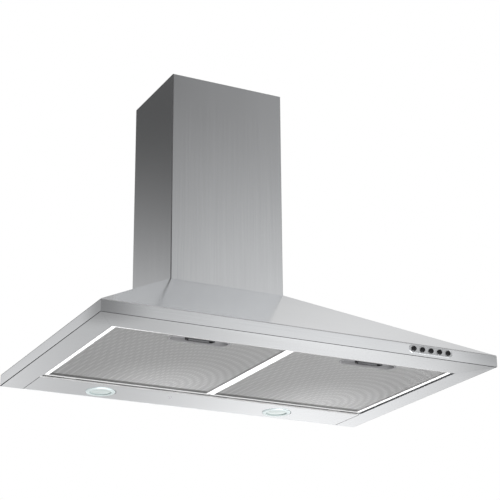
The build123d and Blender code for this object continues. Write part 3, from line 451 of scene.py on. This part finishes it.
@dataclass(frozen=True)
class FilterWeave:
    """Layers of expanded aluminium, whose stacked cells shimmer in bowed rows.

    The colour carries painted sheen in the shimmer of the cells and round the middle of the bow. The mesh
    has painted shade beside the rear bar, from shade_from to shade_to, and beside the right bar, whose edge
    is side.
    """

    name: str
    tone: float
    centre: Point
    row_pitch: float = 20.0 * MM
    squeeze: float = 1.6
    column_pitch: float = 6.67 * MM
    shimmer: float = 0.065
    middle: float = 1.34
    outside: float = 1.02
    reach: float = 0.19
    roughness: float = 0.45
    shade_from: float = -0.126
    shade_to: float = -0.115
    shade: float = 0.45
    side_width: float = 7.0 * MM
    side: float = 0.0
    dimple_scale: float = 450.0
    dimple: float = 0.2 * MM

    def material(self) -> bpy.types.Material:
        """Make the material."""
        shader = Shader(self.name)
        across, back, up = self.centre
        bowed = shader.place((self.squeeze, 1, 1), (-self.squeeze * across, -back, -up))
        # painted sheen: the bowed rows of stacked cells shimmer in the colour
        rows = shader.wave("RINGS", "Z", self.row_pitch, distortion=1.5, vector=bowed,
                           Detail=1.0, Detail__Scale=0.4)
        columns = shader.wave("BANDS", "X", self.column_pitch, distortion=0.8, vector=shader.place())
        cells = shader.math("MULTIPLY", rows, columns)
        low, high = self.tone * (1 - self.shimmer), self.tone * (1 + 2 * self.shimmer)
        colour = shader.ramp(cells, [(0.0, (low,) * 3), (0.9, (high,) * 3)])
        # painted sheen round the middle of the bow, then painted shade beside the bars
        colour = shader.dimmed(shader.dimmed(colour, self.glow(shader)), self.edge_shade(shader))
        shader.link(colour, shader.surface.inputs["Base Color"])
        shader.values(Metallic=1.0, Roughness=self.roughness)
        dimples = shader.noise((self.dimple_scale,) * 3, detail=1.0)
        shader.bump(dimples, strength=0.3, depth=self.dimple)
        return shader.material

    def glow(self, shader: Shader) -> Socket:
        """Factor of painted sheen, brighter round the middle of the bow, where the layers lie in line."""
        return shader.carried(shader.gap(self.centre), (0.0, self.reach), (self.middle, self.outside))

    def edge_shade(self, shader: Shader) -> Socket:
        """Factor of painted shade, darker beside the rear bar and the right bar."""
        rear = shader.carried(shader.axis("Y"), (self.shade_from, self.shade_to), (1.0, self.shade))
        right = shader.carried(shader.axis("X"), (self.side - self.side_width, self.side), (1.0, self.shade))
        return shader.math("MINIMUM", rear, right)


@dataclass(frozen=True)
class ChannelEnamel:
    """White enamelled channel, with painted shade in grey along the right of the front bar and on the rear
    bar.

    The lugs behind the rear bar get dark painted shade, and the two channels a little painted shade where
    they meet.
    """

    name: str
    tone: float = 0.93
    grey_tone: float = 0.42
    front_edge: float = -0.4249
    rear_edge: float = -0.1071
    lug: float = 0.12
    lug_edge: float = -0.1005
    joint: float = 0.90
    joint_half: float = 1.3 * MM
    painted_shade_run: tuple[float, float] = (-0.320, -0.185)
    cloud_scale: float = 60.0
    unevenness: float = 0.02
    grain: float = 700.0
    grain_depth: float = 0.05 * MM

    def material(self) -> bpy.types.Material:
        """Make the material."""
        shader = Shader(self.name)
        # painted shade: grey along the right of the front bar and on the rear bar, dark on the lugs in the
        # slot
        front = shader.math("LESS_THAN", shader.axis("Y"), self.front_edge)
        along = shader.carried(shader.axis("X"), self.painted_shade_run, (0.0, 1.0))
        rear = shader.math("GREATER_THAN", shader.axis("Y"), self.rear_edge)
        painted_shade_mask = shader.math("ADD", shader.math("MULTIPLY", front, along), rear)
        lug = shader.math("GREATER_THAN", shader.axis("Y"), self.lug_edge)
        tones = [(place, (tone,) * 3)
                 for place, tone in ((0.0, self.tone), (0.5, self.grey_tone), (1.0, self.lug))]
        colour = shader.ramp(shader.math("MULTIPLY_ADD", painted_shade_mask, 0.5, lug), tones)
        clouds = shader.noise((self.cloud_scale,) * 3)
        cloud = shader.spread(clouds, 1 - self.unevenness, 1 + self.unevenness)
        # painted shade where the two channels meet
        away = shader.math("ABSOLUTE", shader.axis("X"))
        meeting = shader.carried(away, (self.joint_half, 2 * self.joint_half), (self.joint, 1.0))
        colour = shader.dimmed(shader.dimmed(colour, cloud), meeting)
        shader.link(colour, shader.surface.inputs["Base Color"])
        shader.values(Roughness=0.35)
        shader.bump(shader.noise((self.grain,) * 3, detail=1.0), strength=0.05, depth=self.grain_depth)
        return shader.material


# ---------------------------------------------------------------- modelling helpers
def deselect() -> None:
    """Leave object mode with nothing selected."""
    if bpy.context.object and bpy.context.object.mode != "OBJECT":
        bpy.ops.object.mode_set(mode="OBJECT")
    bpy.ops.object.select_all(action="DESELECT")


def pick(obj: bpy.types.Object) -> bpy.types.Object:
    """Make one object the only selected and the active one."""
    deselect()
    obj.select_set(True)
    bpy.context.view_layer.objects.active = obj
    return obj


def primitive(name: str, add: Callable[..., object], **settings: object) -> bpy.types.Object:
    """Add a primitive and name it.

    Args:
        name: Name of the new piece.
        add: Operator that adds the primitive.
        **settings: Arguments of the operator.

    Returns:
        The new object, selected.
    """
    deselect()
    add(**settings)
    obj = bpy.context.object
    obj.name = obj.data.name = name
    return obj


def modify(obj: bpy.types.Object, kind: str, **settings: object) -> None:
    """Add a modifier and apply it.

    Args:
        obj: The piece.
        kind: Blender's type name of the modifier.
        **settings: Properties of the modifier.
    """
    pick(obj)
    modifier = obj.modifiers.new(kind.lower(), kind)
    for key, value in settings.items():
        setattr(modifier, key, value)
    bpy.ops.object.modifier_apply(modifier=modifier.name)


def settle(obj: bpy.types.Object, smooth: float = 35.0) -> bpy.types.Object:
    """Carry the object's place into its mesh and shade it smooth.

    Args:
        obj: The piece.
        smooth: Angle in degrees past which an edge stays sharp.

    Returns:
        The same piece.
    """
    pick(obj)
    bpy.ops.object.transform_apply(location=True, rotation=True, scale=True)
    bpy.ops.object.shade_smooth_by_angle(angle=math.radians(smooth))
    return obj


def flatten(obj: bpy.types.Object) -> bpy.types.Object:
    """Let the large faces lead the shading, so that only the roundings look curved."""
    modify(obj, "WEIGHTED_NORMAL", keep_sharp=True, weight=100)
    return obj


def merged_copy(node: str, name: str) -> bpy.types.Object:
    """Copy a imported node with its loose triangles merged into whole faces.

    Args:
        node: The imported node.
        name: Name of the copy.

    Returns:
        The copy.
    """
    deselect()
    obj = bpy.data.objects.new(name, bpy.data.objects[node].data.copy())
    bpy.context.scene.collection.objects.link(obj)
    obj.data.name = name
    pick(obj)
    bpy.ops.object.mode_set(mode="EDIT")
    bpy.ops.mesh.select_all(action="SELECT")
    bpy.ops.mesh.remove_doubles(threshold=MERGE_GAP)
    bpy.ops.mesh.dissolve_limited(angle_limit=math.radians(FLAT_ANGLE))
    bpy.ops.object.mode_set(mode="OBJECT")
    return obj


def rounded_copy(node: str, name: str, width: float, segments: int = 2,
                 angle: float = 30.0) -> bpy.types.Object:
    """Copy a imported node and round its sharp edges.

    Args:
        node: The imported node.
        name: Name of the copy.
        width: Width of the rounding.
        segments: Faces across the rounding.
        angle: Angle in degrees from which an edge is rounded.

    Returns:
        The rounded copy.
    """
    obj = merged_copy(node, name)
    modify(obj, "BEVEL", width=width, segments=segments, limit_method="ANGLE",
           angle_limit=math.radians(angle), use_clamp_overlap=True)
    return flatten(settle(obj))


def folded_copy(node: str, name: str, width: float, fold: Callable[[Vector, Vector], float],
                finishes: Sequence[bpy.types.Material]) -> bpy.types.Object:
    """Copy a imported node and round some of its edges, which get the second finish.

    Args:
        node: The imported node.
        name: Name of the copy.
        width: Width of the rounding.
        fold: Tells the share of that width on the edge between two corners of the sheet.
        finishes: Finish of the sheet and finish of its folds.

    Returns:
        The rounded copy.
    """
    obj = merged_copy(node, name)
    obj.data.materials.clear()
    for finish in finishes:
        obj.data.materials.append(finish)
    weights = obj.data.attributes.new("bevel_weight_edge", "FLOAT", "EDGE")
    for edge in obj.data.edges:
        weights.data[edge.index].value = fold(*(obj.data.vertices[end].co for end in edge.vertices))
    modify(obj, "BEVEL", width=width, segments=3, limit_method="WEIGHT", material=1, use_clamp_overlap=False)
    return flatten(settle(obj))


def coat(obj: bpy.types.Object, material: bpy.types.Material) -> None:
    """Give the whole object one material."""
    if obj.data.materials:
        for index in range(len(obj.data.materials)):
            obj.data.materials[index] = material
    else:
        obj.data.materials.append(material)


def fit(obj: bpy.types.Object, body: str, slot: str, material: bpy.types.Material | None,
        *nodes: str) -> None:
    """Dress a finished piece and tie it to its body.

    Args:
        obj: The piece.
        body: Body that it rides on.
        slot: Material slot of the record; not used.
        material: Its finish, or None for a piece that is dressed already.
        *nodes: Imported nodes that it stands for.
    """
    if material:
        coat(obj, material)
    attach(obj, body)
    if nodes:
        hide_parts(*nodes)
    LOG.info("%s rides on %s", obj.name, body)


def dress(nodes: Iterable[str], material: bpy.types.Material) -> None:
    """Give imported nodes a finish."""
    for node in nodes:
        coat(bpy.data.objects[node], material)


def span(node: str) -> tuple[Vector, Vector, Vector]:
    """Lowest corner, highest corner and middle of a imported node."""
    low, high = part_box(node)
    return low, high, (low + high) / 2


# ---------------------------------------------------------------- sub-assemblies
@dataclass
class Canopy:
    """Pyramid canopy with its lip, underside border, inner frame and light plate."""

    lip_height: float = 21.0 * MM
    fold_radius: float = 2.4 * MM
    joint_width: float = 1.1 * MM
    joint_shift: float = 0.4 * MM
    joint_sheet: float = 0.08 * MM
    flange_depth: float = 1.5 * MM
    flange_facing: float = 0.7
    plate_rounding: float = 0.3 * MM
    # painted shade dulls the steel round both front corners of the lip
    skin: BrushedSteel = BrushedSteel("canopy_steel", Grain.ALONG_X, corners=(
        CornerShade((-0.375, -0.5, 0.010), 0.100, 0.45), CornerShade((0.375, -0.5, 0.010), 0.110, 0.24)))
    # near-black painted shade on the front bottom fold of the lip, also used for the joints beside the light
    # plate
    fold: MouldedPlastic = MouldedPlastic("fold_shade", (0.014, 0.014, 0.015), roughness=0.8, gloss=0.05)
    # duller grey of painted shade on the top folds of the lip
    crest: SheetMetal = SheetMetal("crest_steel", (0.70, 0.70, 0.715), roughness=0.35)
    flange: SheetMetal = SheetMetal("plate_flange", (0.50, 0.50, 0.50), roughness=0.6, metallic=0.1)
    plate: BrushedSteel = BrushedSteel("light_plate_steel", Grain.ALONG_X)

    def build(self) -> None:
        """Round the folds of the sheet and dress it, its inner frame and the light plate.

        The front bottom fold gets the full radius and a near-black finish of painted shade, the other folds
        of the lip half of it, and those above the middle of the lip the finish of the crest, a grey of
        painted shade.
        """
        low, high, _ = span("canopy")

        def share(corner: Vector) -> float:
            """Share of the fold radius at a corner of the canopy, zero off the outer folds."""
            at_front = corner.y - low.y < NEAR
            if abs(corner.z) < NEAR and at_front:
                return 1.0
            on_rim = at_front or min(corner.x - low.x, high.x - corner.x) < NEAR
            at_lip = min(abs(corner.z), abs(corner.z - self.lip_height)) < NEAR and on_rim
            return 0.5 if at_lip else 0.0

        def fold(start: Vector, end: Vector) -> float:
            """Smaller of the shares at the two ends of an edge, zero along the rear rim."""
            return 0.0 if min(start.y, end.y) > -NEAR else min(share(start), share(end))

        shade = self.fold.material()
        skin = folded_copy("canopy", "canopy_skin", self.fold_radius, fold,
                           [self.skin.material(), shade, self.crest.material()])
        for face in skin.data.polygons:
            if face.material_index == 1 and face.center.z > self.lip_height / 2:
                face.material_index = 2
        fit(skin, "hood", "brushed_steel", None, "canopy")
        dress(["inner_frame"], BrushedSteel("inner_frame_steel", Grain.ALONG_X, tone=0.7).material())
        plate = rounded_copy("light_plate", "light_plate_skin", self.plate_rounding)
        coat(plate, self.plate.material())
        plate.data.materials.append(self.flange.material())
        front = span("light_plate")[0].y + self.flange_depth
        for face in plate.data.polygons:
            if face.normal.y < -self.flange_facing and face.center.y < front:
                face.material_index = 1
        fit(plate, "hood", "brushed_steel", None, "light_plate")
        for side, sign in SIDES.items():
            fit(self.plate_joint(side, sign), "hood", "brushed_steel", shade)

    def plate_joint(self, side: str, sign: int) -> bpy.types.Object:
        """Fine dark joint between the light plate and the border beside it.

        Args:
            side: Left or right.
            sign: Direction of that side along X.

        Returns:
            The strip.
        """
        low, high, middle = span("light_plate")
        strip = primitive(f"plate_joint_{side}", bpy.ops.mesh.primitive_plane_add, size=1.0,
                          location=(sign * (high.x + self.joint_shift), middle.y, -self.joint_sheet / 2))
        strip.scale = (self.joint_width, (high - low).y, 1)
        settle(strip)
        modify(strip, "SOLIDIFY", thickness=self.joint_sheet, offset=0.0)
        return settle(strip)


@dataclass
class Chimney:
    """Lower chimney cover and the inner cover that slides out of it."""

    fold_radius: float = 1.5 * MM
    skin: BrushedSteel = BrushedSteel("chimney_steel", Grain.ALONG_Z, tone=0.75)
    # dark painted shade for the left front fold
    fold: SheetMetal = SheetMetal("chimney_fold_shade", (0.16, 0.16, 0.165), roughness=0.5)

    def build(self) -> None:
        """Round the front folds of the lower cover and dress both covers.

        The left fold is dark with painted shade, and the right one has the finish of the sheet.
        """
        steel = self.skin.material()
        low, high, _ = span("lower_chimney")

        def fold(start: Vector, end: Vector) -> float:
            """One on the two upright outer folds at the front, zero elsewhere."""
            at_side = min(start.x - low.x, high.x - start.x) < NEAR
            upright = (end - start).xy.length < NEAR
            return 1.0 if upright and at_side and start.y - low.y < NEAR else 0.0

        lower = folded_copy("lower_chimney", "lower_cover", self.fold_radius, fold,
                            [steel, self.fold.material()])
        for face in lower.data.polygons:
            if face.material_index == 1 and face.center.x > 0:
                face.material_index = 0
        fit(lower, "hood", "brushed_steel", None, "lower_chimney")
        dress(["upper_chimney"], steel)


@dataclass
class Filters:
    """Two mesh filters with their frames, lattices, dishes and pull rings."""

    cell: tuple[float, float] = (6.4 * MM, 4.6 * MM)
    strand: float = 0.9 * MM
    strand_depth: float = 0.5 * MM
    lattice_z: float = 2.65 * MM
    bar_cover: float = 5.9 * MM
    dish_margin: float = 1.0 * MM
    frame_rounding: float = 0.6 * MM
    dish_rounding: float = 0.25 * MM
    pull_rounding: float = 0.7 * MM
    channel: ChannelEnamel = ChannelEnamel("filter_channel")
    dish: SheetMetal = SheetMetal("latch_dish", (0.20, 0.20, 0.205), roughness=0.75, metallic=0.2)
    ring: MouldedPlastic = MouldedPlastic("latch_black", (0.012, 0.012, 0.013), roughness=0.5, gloss=0.08)
    # lighter grey for the inner wall of the pull's rear bar that faces the front
    grey_tone: MouldedPlastic = MouldedPlastic("latch_grip", (0.13, 0.13, 0.135), roughness=0.6, gloss=0.1)
    grip_half: float = 19.0 * MM
    grip_facing: float = 0.8
    spring: SheetMetal = SheetMetal("spring_strip", (0.5, 0.5, 0.5), roughness=0.3)
    bow_shift: float = 60.0 * MM
    bow_y: float = -128.0 * MM

    def build(self) -> None:
        """Model and dress both filters."""
        channel, dish, ring = self.channel.material(), self.dish.material(), self.ring.material()
        grey_tone = self.grey_tone.material()
        dress([f"latch_spring_{side}" for side in SIDES], self.spring.material())
        for side in SIDES:
            body = f"filter_{side}"
            _, high, middle = span(f"filter_mesh_{side}")
            centre, edge = (middle.x + self.bow_shift, self.bow_y, 0.0), high.x - self.bar_cover
            frame = rounded_copy(f"filter_frame_{side}", f"filter_channel_{side}",
                                 self.frame_rounding, segments=3)
            fit(frame, body, "filter_aluminium", channel, f"filter_frame_{side}")
            backing = FilterWeave(f"mesh_backing_{side}", 0.35, centre, roughness=0.55, side=edge)
            dress([f"filter_mesh_{side}", f"filter_core_{side}"], backing.material())
            lattice = FilterWeave(f"mesh_lattice_{side}", 0.58, centre, side=edge)
            fit(self.lattice(side), body, "filter_mesh", lattice.material())
            plate = rounded_copy(f"latch_plate_{side}", f"latch_dish_{side}", self.dish_rounding)
            fit(plate, body, "latch_dish", dish, f"latch_plate_{side}")
            pull = rounded_copy(f"latch_{side}", f"latch_pull_{side}", self.pull_rounding, segments=3)
            coat(pull, ring)
            pull.data.materials.append(grey_tone)
            middle = span(f"latch_{side}")[2]
            for face in pull.data.polygons:
                inside = abs(face.center.x - middle.x) < self.grip_half and face.center.y > middle.y
                if inside and face.normal.y < -self.grip_facing:
                    face.material_index = 1  # inner wall of the rear bar that faces the front, in a lighter grey
            fit(pull, f"latch_{side}_slider", "black_plastic", None, f"latch_{side}")

    def lattice(self, side: str) -> bpy.types.Object:
        """Diamond lattice stretched in the window of a filter frame.

        Args:
            side: Left or right.

        Returns:
            The lattice.
        """
        low, high, middle = span(f"filter_mesh_{side}")
        width, depth = (high - low).x - 2 * self.bar_cover, (high - low).y - 2 * self.bar_cover
        columns, rows = round(width / self.cell[0]), round(depth / self.cell[1])
        obj = primitive(f"filter_lattice_{side}", bpy.ops.mesh.primitive_grid_add, size=1.0,
                        x_subdivisions=columns, y_subdivisions=rows,
                        location=(middle.x, middle.y, self.lattice_z))
        obj.scale = (width, depth, 1)
        settle(obj)
        bpy.ops.object.mode_set(mode="EDIT")
        bpy.ops.mesh.select_all(action="SELECT")
        bpy.ops.mesh.poke()
        bpy.ops.mesh.tris_convert_to_quads(face_threshold=math.pi, shape_threshold=math.pi)
        bpy.ops.mesh.select_all(action="DESELECT")
        bpy.ops.object.mode_set(mode="OBJECT")
        dish_low, dish_high, dish = span(f"latch_plate_{side}")
        radius = (dish_high - dish_low).y / 2
        run = (dish_high - dish_low).x / 2 - radius
        for face in obj.data.polygons:
            gap = face.center - dish
            gap.x = max(abs(gap.x) - run, 0.0)
            face.select = math.hypot(gap.x, gap.y) < radius + self.dish_margin
        bpy.ops.object.mode_set(mode="EDIT")
        bpy.ops.mesh.select_mode(type="FACE")
        bpy.ops.mesh.delete(type="FACE")
        bpy.ops.mesh.select_all(action="SELECT")
        bpy.ops.mesh.inset(thickness=self.strand / 2, use_individual=True)
        bpy.ops.mesh.delete(type="FACE")
        bpy.ops.object.mode_set(mode="OBJECT")
        modify(obj, "SOLIDIFY", thickness=self.strand_depth, offset=0.0)
        LOG.info("%s has %d faces", obj.name, len(obj.data.polygons))
        return settle(obj)


@dataclass
class Lamps:
    """Two round lamps in the light plate."""

    shadow_ring_radius: float = 28.6 * MM
    shadow_ring_width: float = 2.6 * MM
    shadow_ring_shift: float = 1.4 * MM
    shadow_ring_sheet: float = 0.3 * MM
    trim_rounding: float = 0.4 * MM
    glass_rounding: float = 0.2 * MM
    ring: SheetMetal = SheetMetal("lamp_trim", (0.52, 0.58, 0.58), roughness=0.30, metallic=0.3)
    glass: FrostedGlass = FrostedGlass("lamp_glass")
    body: SheetMetal = SheetMetal("lamp_housing", (0.75, 0.75, 0.76))
    # dark ring whose crescent beside each lamp's trim is painted shadow
    shadow_dark: MouldedPlastic = MouldedPlastic("lamp_shadow_ring", (0.06, 0.06, 0.065), roughness=0.6)

    def build(self) -> None:
        """Model and dress both lamps."""
        trim, glass, shadow_dark = self.ring.material(), self.glass.material(), self.shadow_dark.material()
        dress([f"lamp_body_{side}" for side in SIDES], self.body.material())
        for side in SIDES:
            ring = rounded_copy(f"lamp_ring_{side}", f"lamp_trim_{side}", self.trim_rounding, segments=3)
            fit(ring, "hood", "lamp_trim", trim, f"lamp_ring_{side}")
            lens = rounded_copy(f"lamp_lens_{side}", f"lamp_glass_{side}", self.glass_rounding)
            fit(lens, "hood", "lamp_glass", glass, f"lamp_lens_{side}")
            fit(self.shadow_ring(side), "hood", "damper_rubber", shadow_dark)

    def shadow_ring(self, side: str) -> bpy.types.Object:
        """Dark ring between a lamp and the light plate, a little off centre, whose crescent beside the trim
        is painted shadow.

        Args:
            side: Left or right.

        Returns:
            The ring.
        """
        _, _, middle = span(f"lamp_ring_{side}")
        place = (middle.x + self.shadow_ring_shift, middle.y + self.shadow_ring_shift, -self.shadow_ring_sheet / 2)
        obj = primitive(f"lamp_shadow_ring_{side}", bpy.ops.mesh.primitive_circle_add, vertices=64,
                        radius=self.shadow_ring_radius, location=place)
        settle(obj)
        inner = 1 - self.shadow_ring_width / self.shadow_ring_radius
        bpy.ops.object.mode_set(mode="EDIT")
        bpy.ops.mesh.select_all(action="SELECT")
        bpy.ops.mesh.extrude_edges_move(TRANSFORM_OT_translate={"value": (0, 0, 0)})
        bpy.ops.transform.resize(value=(inner, inner, 1))
        bpy.ops.object.mode_set(mode="OBJECT")
        modify(obj, "SOLIDIFY", thickness=self.shadow_ring_sheet, offset=0.0)
        return settle(obj)


@dataclass
class Buttons:
    """Row of push buttons in the front lip."""

    count: int = 5
    cap_rounding: float = 0.4 * MM
    bezel_rounding: float = 0.15 * MM
    cap: MouldedPlastic = MouldedPlastic("button_black", (0.008, 0.008, 0.009), roughness=0.5, gloss=0.15)
    bezel: BrushedSteel = BrushedSteel("bezel_steel", Grain.ALONG_X, tone=0.74, roughness=0.30)
    # dark walls of the button holes: painted shade in the recesses
    rim: MouldedPlastic = MouldedPlastic("bezel_rim", (0.05, 0.05, 0.052), roughness=0.7, gloss=0.1)
    rim_reach: float = 6.5 * MM
    wall_facing: float = 0.5
    block: MouldedPlastic = MouldedPlastic("switch_plastic", (0.03, 0.03, 0.032))

    def build(self) -> None:
        """Round the button caps and the bezel, and dress them and the switch block.

        The walls of the holes in the bezel, within rim_reach of a button's axis, are dark with painted
        shade.
        """
        black = self.cap.material()
        for number in range(1, self.count + 1):
            cap = rounded_copy(f"button_{number}", f"button_cap_{number}", self.cap_rounding, segments=3)
            fit(cap, f"button_{number}_plunger", "black_plastic", black, f"button_{number}")
        bezel = rounded_copy("button_bezel", "bezel_skin", self.bezel_rounding)
        coat(bezel, self.bezel.material())
        bezel.data.materials.append(self.rim.material())
        axes = [span(f"button_{number}")[2] for number in range(1, self.count + 1)]
        for face in bezel.data.polygons:
            nearest = min((face.center - axis).xz.length for axis in axes)
            if abs(face.normal.y) < self.wall_facing and nearest < self.rim_reach:
                face.material_index = 1
        fit(bezel, "hood", "brushed_steel", None, "button_bezel")
        dress(["switch_block"], self.block.material())


@dataclass
class Inside:
    """Blower, duct, back panel and electrics behind the covers."""

    finishes: tuple[tuple[SheetMetal | MouldedPlastic, tuple[str, ...]], ...] = (
        (SheetMetal("plated_sheet", (0.66, 0.68, 0.69), roughness=0.5, metallic=0.2, cloud_scale=90.0),
         ("back_panel", "blower_deck", "centre_rail", "plate_bracket", "wall_hooks", "chimney_bracket",
          "chimney_clips", "motor_bracket", "capacitor_clip")),
        (SheetMetal("zinc_fixings", (0.52, 0.52, 0.53), roughness=0.3),
         ("panel_rivets", "blower_screws", "fan_shaft", "flap_pin")),
        (SheetMetal("screw_dull", (0.30, 0.30, 0.31), roughness=0.7, metallic=0.1), ("plate_screw",)),
        (MouldedPlastic("casing_plastic", (0.035, 0.036, 0.038)),
         ("blower_shell_left", "blower_shell_right", "inlet_grille_left", "inlet_grille_right",
          "outlet_adapter", "impeller")),
        (MouldedPlastic("collar_plastic", (0.72, 0.72, 0.71)), ("duct_collar",)),
        (SheetMetal("flap_sheet", (0.72, 0.73, 0.74)), ("flap_front", "flap_rear")),
        (SheetMetal("motor_enamel", (0.05, 0.05, 0.055), metallic=0.2), ("motor",)),
        (MouldedPlastic("damper_rubber", (0.02, 0.02, 0.02), roughness=0.7), ("motor_dampers",)),
        (MouldedPlastic("box_plastic", (0.70, 0.70, 0.68)), ("terminal_box", "terminal_lid", "capacitor")),
        (MouldedPlastic("terminal_plastic", (0.75, 0.73, 0.66)), ("terminal_block",)),
        (MouldedPlastic("gland_plastic", (0.02, 0.02, 0.02)), ("cable_gland",)),
    )

    def build(self) -> None:
        """Dress every hidden piece, and the screw of the light plate."""
        for finish, nodes in self.finishes:
            dress(nodes, finish.material())


# ---------------------------------------------------------------- studio
@dataclass(frozen=True)
class SoftBox:
    """Soft round glow far away, at an azimuth from +Y towards +X and an elevation."""

    label: str
    azimuth: float
    elevation: float
    spread: float
    strength: float

    def glow(self, tree: bpy.types.NodeTree, direction: Socket) -> Socket:
        """Brightness by direction, falling off like a bell curve.

        Args:
            tree: The world's nodes.
            direction: The direction socket.

        Returns:
            The brightness socket.
        """
        azimuth, elevation = math.radians(self.azimuth), math.radians(self.elevation)
        centre = (math.sin(azimuth) * math.cos(elevation), math.cos(azimuth) * math.cos(elevation),
                  math.sin(elevation))
        gap = tree.nodes.new("ShaderNodeVectorMath")
        gap.operation = "DISTANCE"
        gap.inputs[1].default_value = centre
        tree.links.new(direction, gap.inputs[0])
        width = 2 * math.sin(math.radians(self.spread) / 2)
        share = compute(tree, "DIVIDE", gap.outputs["Value"], width)
        fall = compute(tree, "MULTIPLY", compute(tree, "POWER", share, 2.0), -0.5)
        return compute(tree, "MULTIPLY", compute(tree, "EXPONENT", fall), self.strength)


@dataclass
class Studio:
    """Camera, soft light and pale floor."""

    camera_at: Point = (-1.1969, -2.6359, -0.7333)
    yaw: float = 26.90
    pitch: float = 20.09
    roll: float = 0.38
    lens: float = 110.42
    sensor: float = 36.0
    floor_size: float = 12.0
    floor_drop: float = 3.4
    floor_glow: float = 0.72
    backdrop: float = 1.0
    ambient: float = 0.02
    boxes: tuple[SoftBox, ...] = (
        SoftBox("floor in front, near", 180, -60, 25, 4.00),
        SoftBox("floor in front", 180, -45, 25, 2.65),
        SoftBox("floor behind, far left", 7, -14, 6, 1.70),
        SoftBox("floor behind, left", 14, -18, 5, 0.40),
        SoftBox("floor behind, middle", 28, -10, 5, 1.30),
        SoftBox("floor behind, right", 35, -26, 5, 1.75),
        SoftBox("floor behind, low", 22, -32, 6, 0.25),
        SoftBox("wall, left", -23, 14, 4, 0.64),
        SoftBox("wall, above left", -25, 17, 3, 0.15),
        SoftBox("wall, middle", -13, 12, 6, 0.65),
        SoftBox("wall, far left", -30, 33, 4, 0.20),
        SoftBox("wall, high left", -26, 40, 5, 0.95),
        SoftBox("wall, top left", -26, 47, 6, 0.20),
        SoftBox("wall, behind", 22, 34, 6, 0.25),
        SoftBox("wall, right", 44, 26, 5, 0.50),
        SoftBox("wall, above right", 36, 34, 5, 0.65),
        SoftBox("wall, high right", 36, 42, 5, 0.20),
        SoftBox("room, low", 147, 14, 4, 0.80),
        SoftBox("room, low left", 154, 18, 4, 0.50),
        SoftBox("room, right", 142, 34, 5, 0.95),
        SoftBox("room, high right", 142, 42, 5, 0.15),
        SoftBox("room, high", 150, 42, 5, 0.75),
        SoftBox("window, right", 95, 15, 22, 0.50),
        SoftBox("window, left", -90, 15, 22, 0.40),
        SoftBox("window, low left", -90, -10, 12, 0.25),
        SoftBox("edge light, left", -160, 20, 10, 1.00),
        SoftBox("ceiling", 0, 90, 22, 0.70),
        SoftBox("ceiling, front", 180, 62, 14, 0.40),
        SoftBox("ceiling, behind", 0, 76, 12, 0.80),
        SoftBox("side light, right", 68, -5, 12, 3.00),
        SoftBox("side light, left", -68, -5, 12, 3.00),
    )

    def build(self) -> None:
        """Set up the camera, the world and the floor."""
        self.add_camera()
        self.add_world()
        self.add_floor()

    def add_camera(self) -> None:
        """Place the camera where the picture was taken."""
        data = bpy.data.cameras.new("camera")
        data.lens, data.sensor_width, data.sensor_height = self.lens, self.sensor, self.sensor
        data.sensor_fit = "HORIZONTAL"
        camera = bpy.data.objects.new("camera", data)
        bpy.context.scene.collection.objects.link(camera)
        turn = Euler((math.radians(90 + self.pitch), 0, math.radians(-self.yaw))).to_matrix()
        camera.matrix_world = Matrix.Translation(self.camera_at) @ (
            turn @ Matrix.Rotation(math.radians(-self.roll), 3, "Z")).to_4x4()
        bpy.context.scene.camera = camera

    def add_world(self) -> None:
        """White backdrop for the eye, soft boxes all round for the surfaces."""
        world = bpy.data.worlds.new("studio")
        world.use_nodes = True
        bpy.context.scene.world = world
        tree = world.node_tree
        seen = tree.nodes["Background"]
        seen.inputs["Color"].default_value = WHITE
        seen.inputs["Strength"].default_value = self.backdrop
        direction = tree.nodes.new("ShaderNodeTexCoord").outputs["Generated"]
        total = None
        for box in self.boxes:
            glow = box.glow(tree, direction)
            total = compute(tree, "ADD", total, glow) if total else glow
        lighting = tree.nodes.new("ShaderNodeBackground")
        lighting.inputs["Color"].default_value = WHITE
        tree.links.new(compute(tree, "ADD", total, self.ambient), lighting.inputs["Strength"])
        path = tree.nodes.new("ShaderNodeLightPath")
        mix = tree.nodes.new("ShaderNodeMixShader")
        tree.links.new(path.outputs["Is Camera Ray"], mix.inputs["Fac"])
        tree.links.new(lighting.outputs[0], mix.inputs[1])
        tree.links.new(seen.outputs[0], mix.inputs[2])
        tree.links.new(mix.outputs[0], tree.nodes["World Output"].inputs["Surface"])
        bpy.context.scene.view_settings.view_transform = "Standard"

    def add_floor(self) -> None:
        """Pale floor well below the hood, which neither lights nor shades it."""
        floor = primitive("floor", bpy.ops.mesh.primitive_plane_add, size=self.floor_size,
                          location=(0, 0, -self.floor_drop))
        paint = MouldedPlastic("floor_paint", (0.85, 0.85, 0.85), roughness=0.8, grain=40.0).material()
        surface = paint.node_tree.nodes["Principled BSDF"].inputs
        surface["Emission Color"].default_value = WHITE
        surface["Emission Strength"].default_value = self.floor_glow
        coat(floor, paint)
        floor.visible_diffuse = floor.visible_glossy = floor.visible_shadow = False
        settle(floor)


def main() -> None:
    """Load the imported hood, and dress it."""
    logging.basicConfig(level=logging.INFO, format="%(name)s: %(message)s")
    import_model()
    for section in (Canopy(), Chimney(), Filters(), Lamps(), Buttons(), Inside(), Studio()):
        section.build()
        LOG.info("%s built", type(section).__name__)


if __name__ == "__main__":
    main()
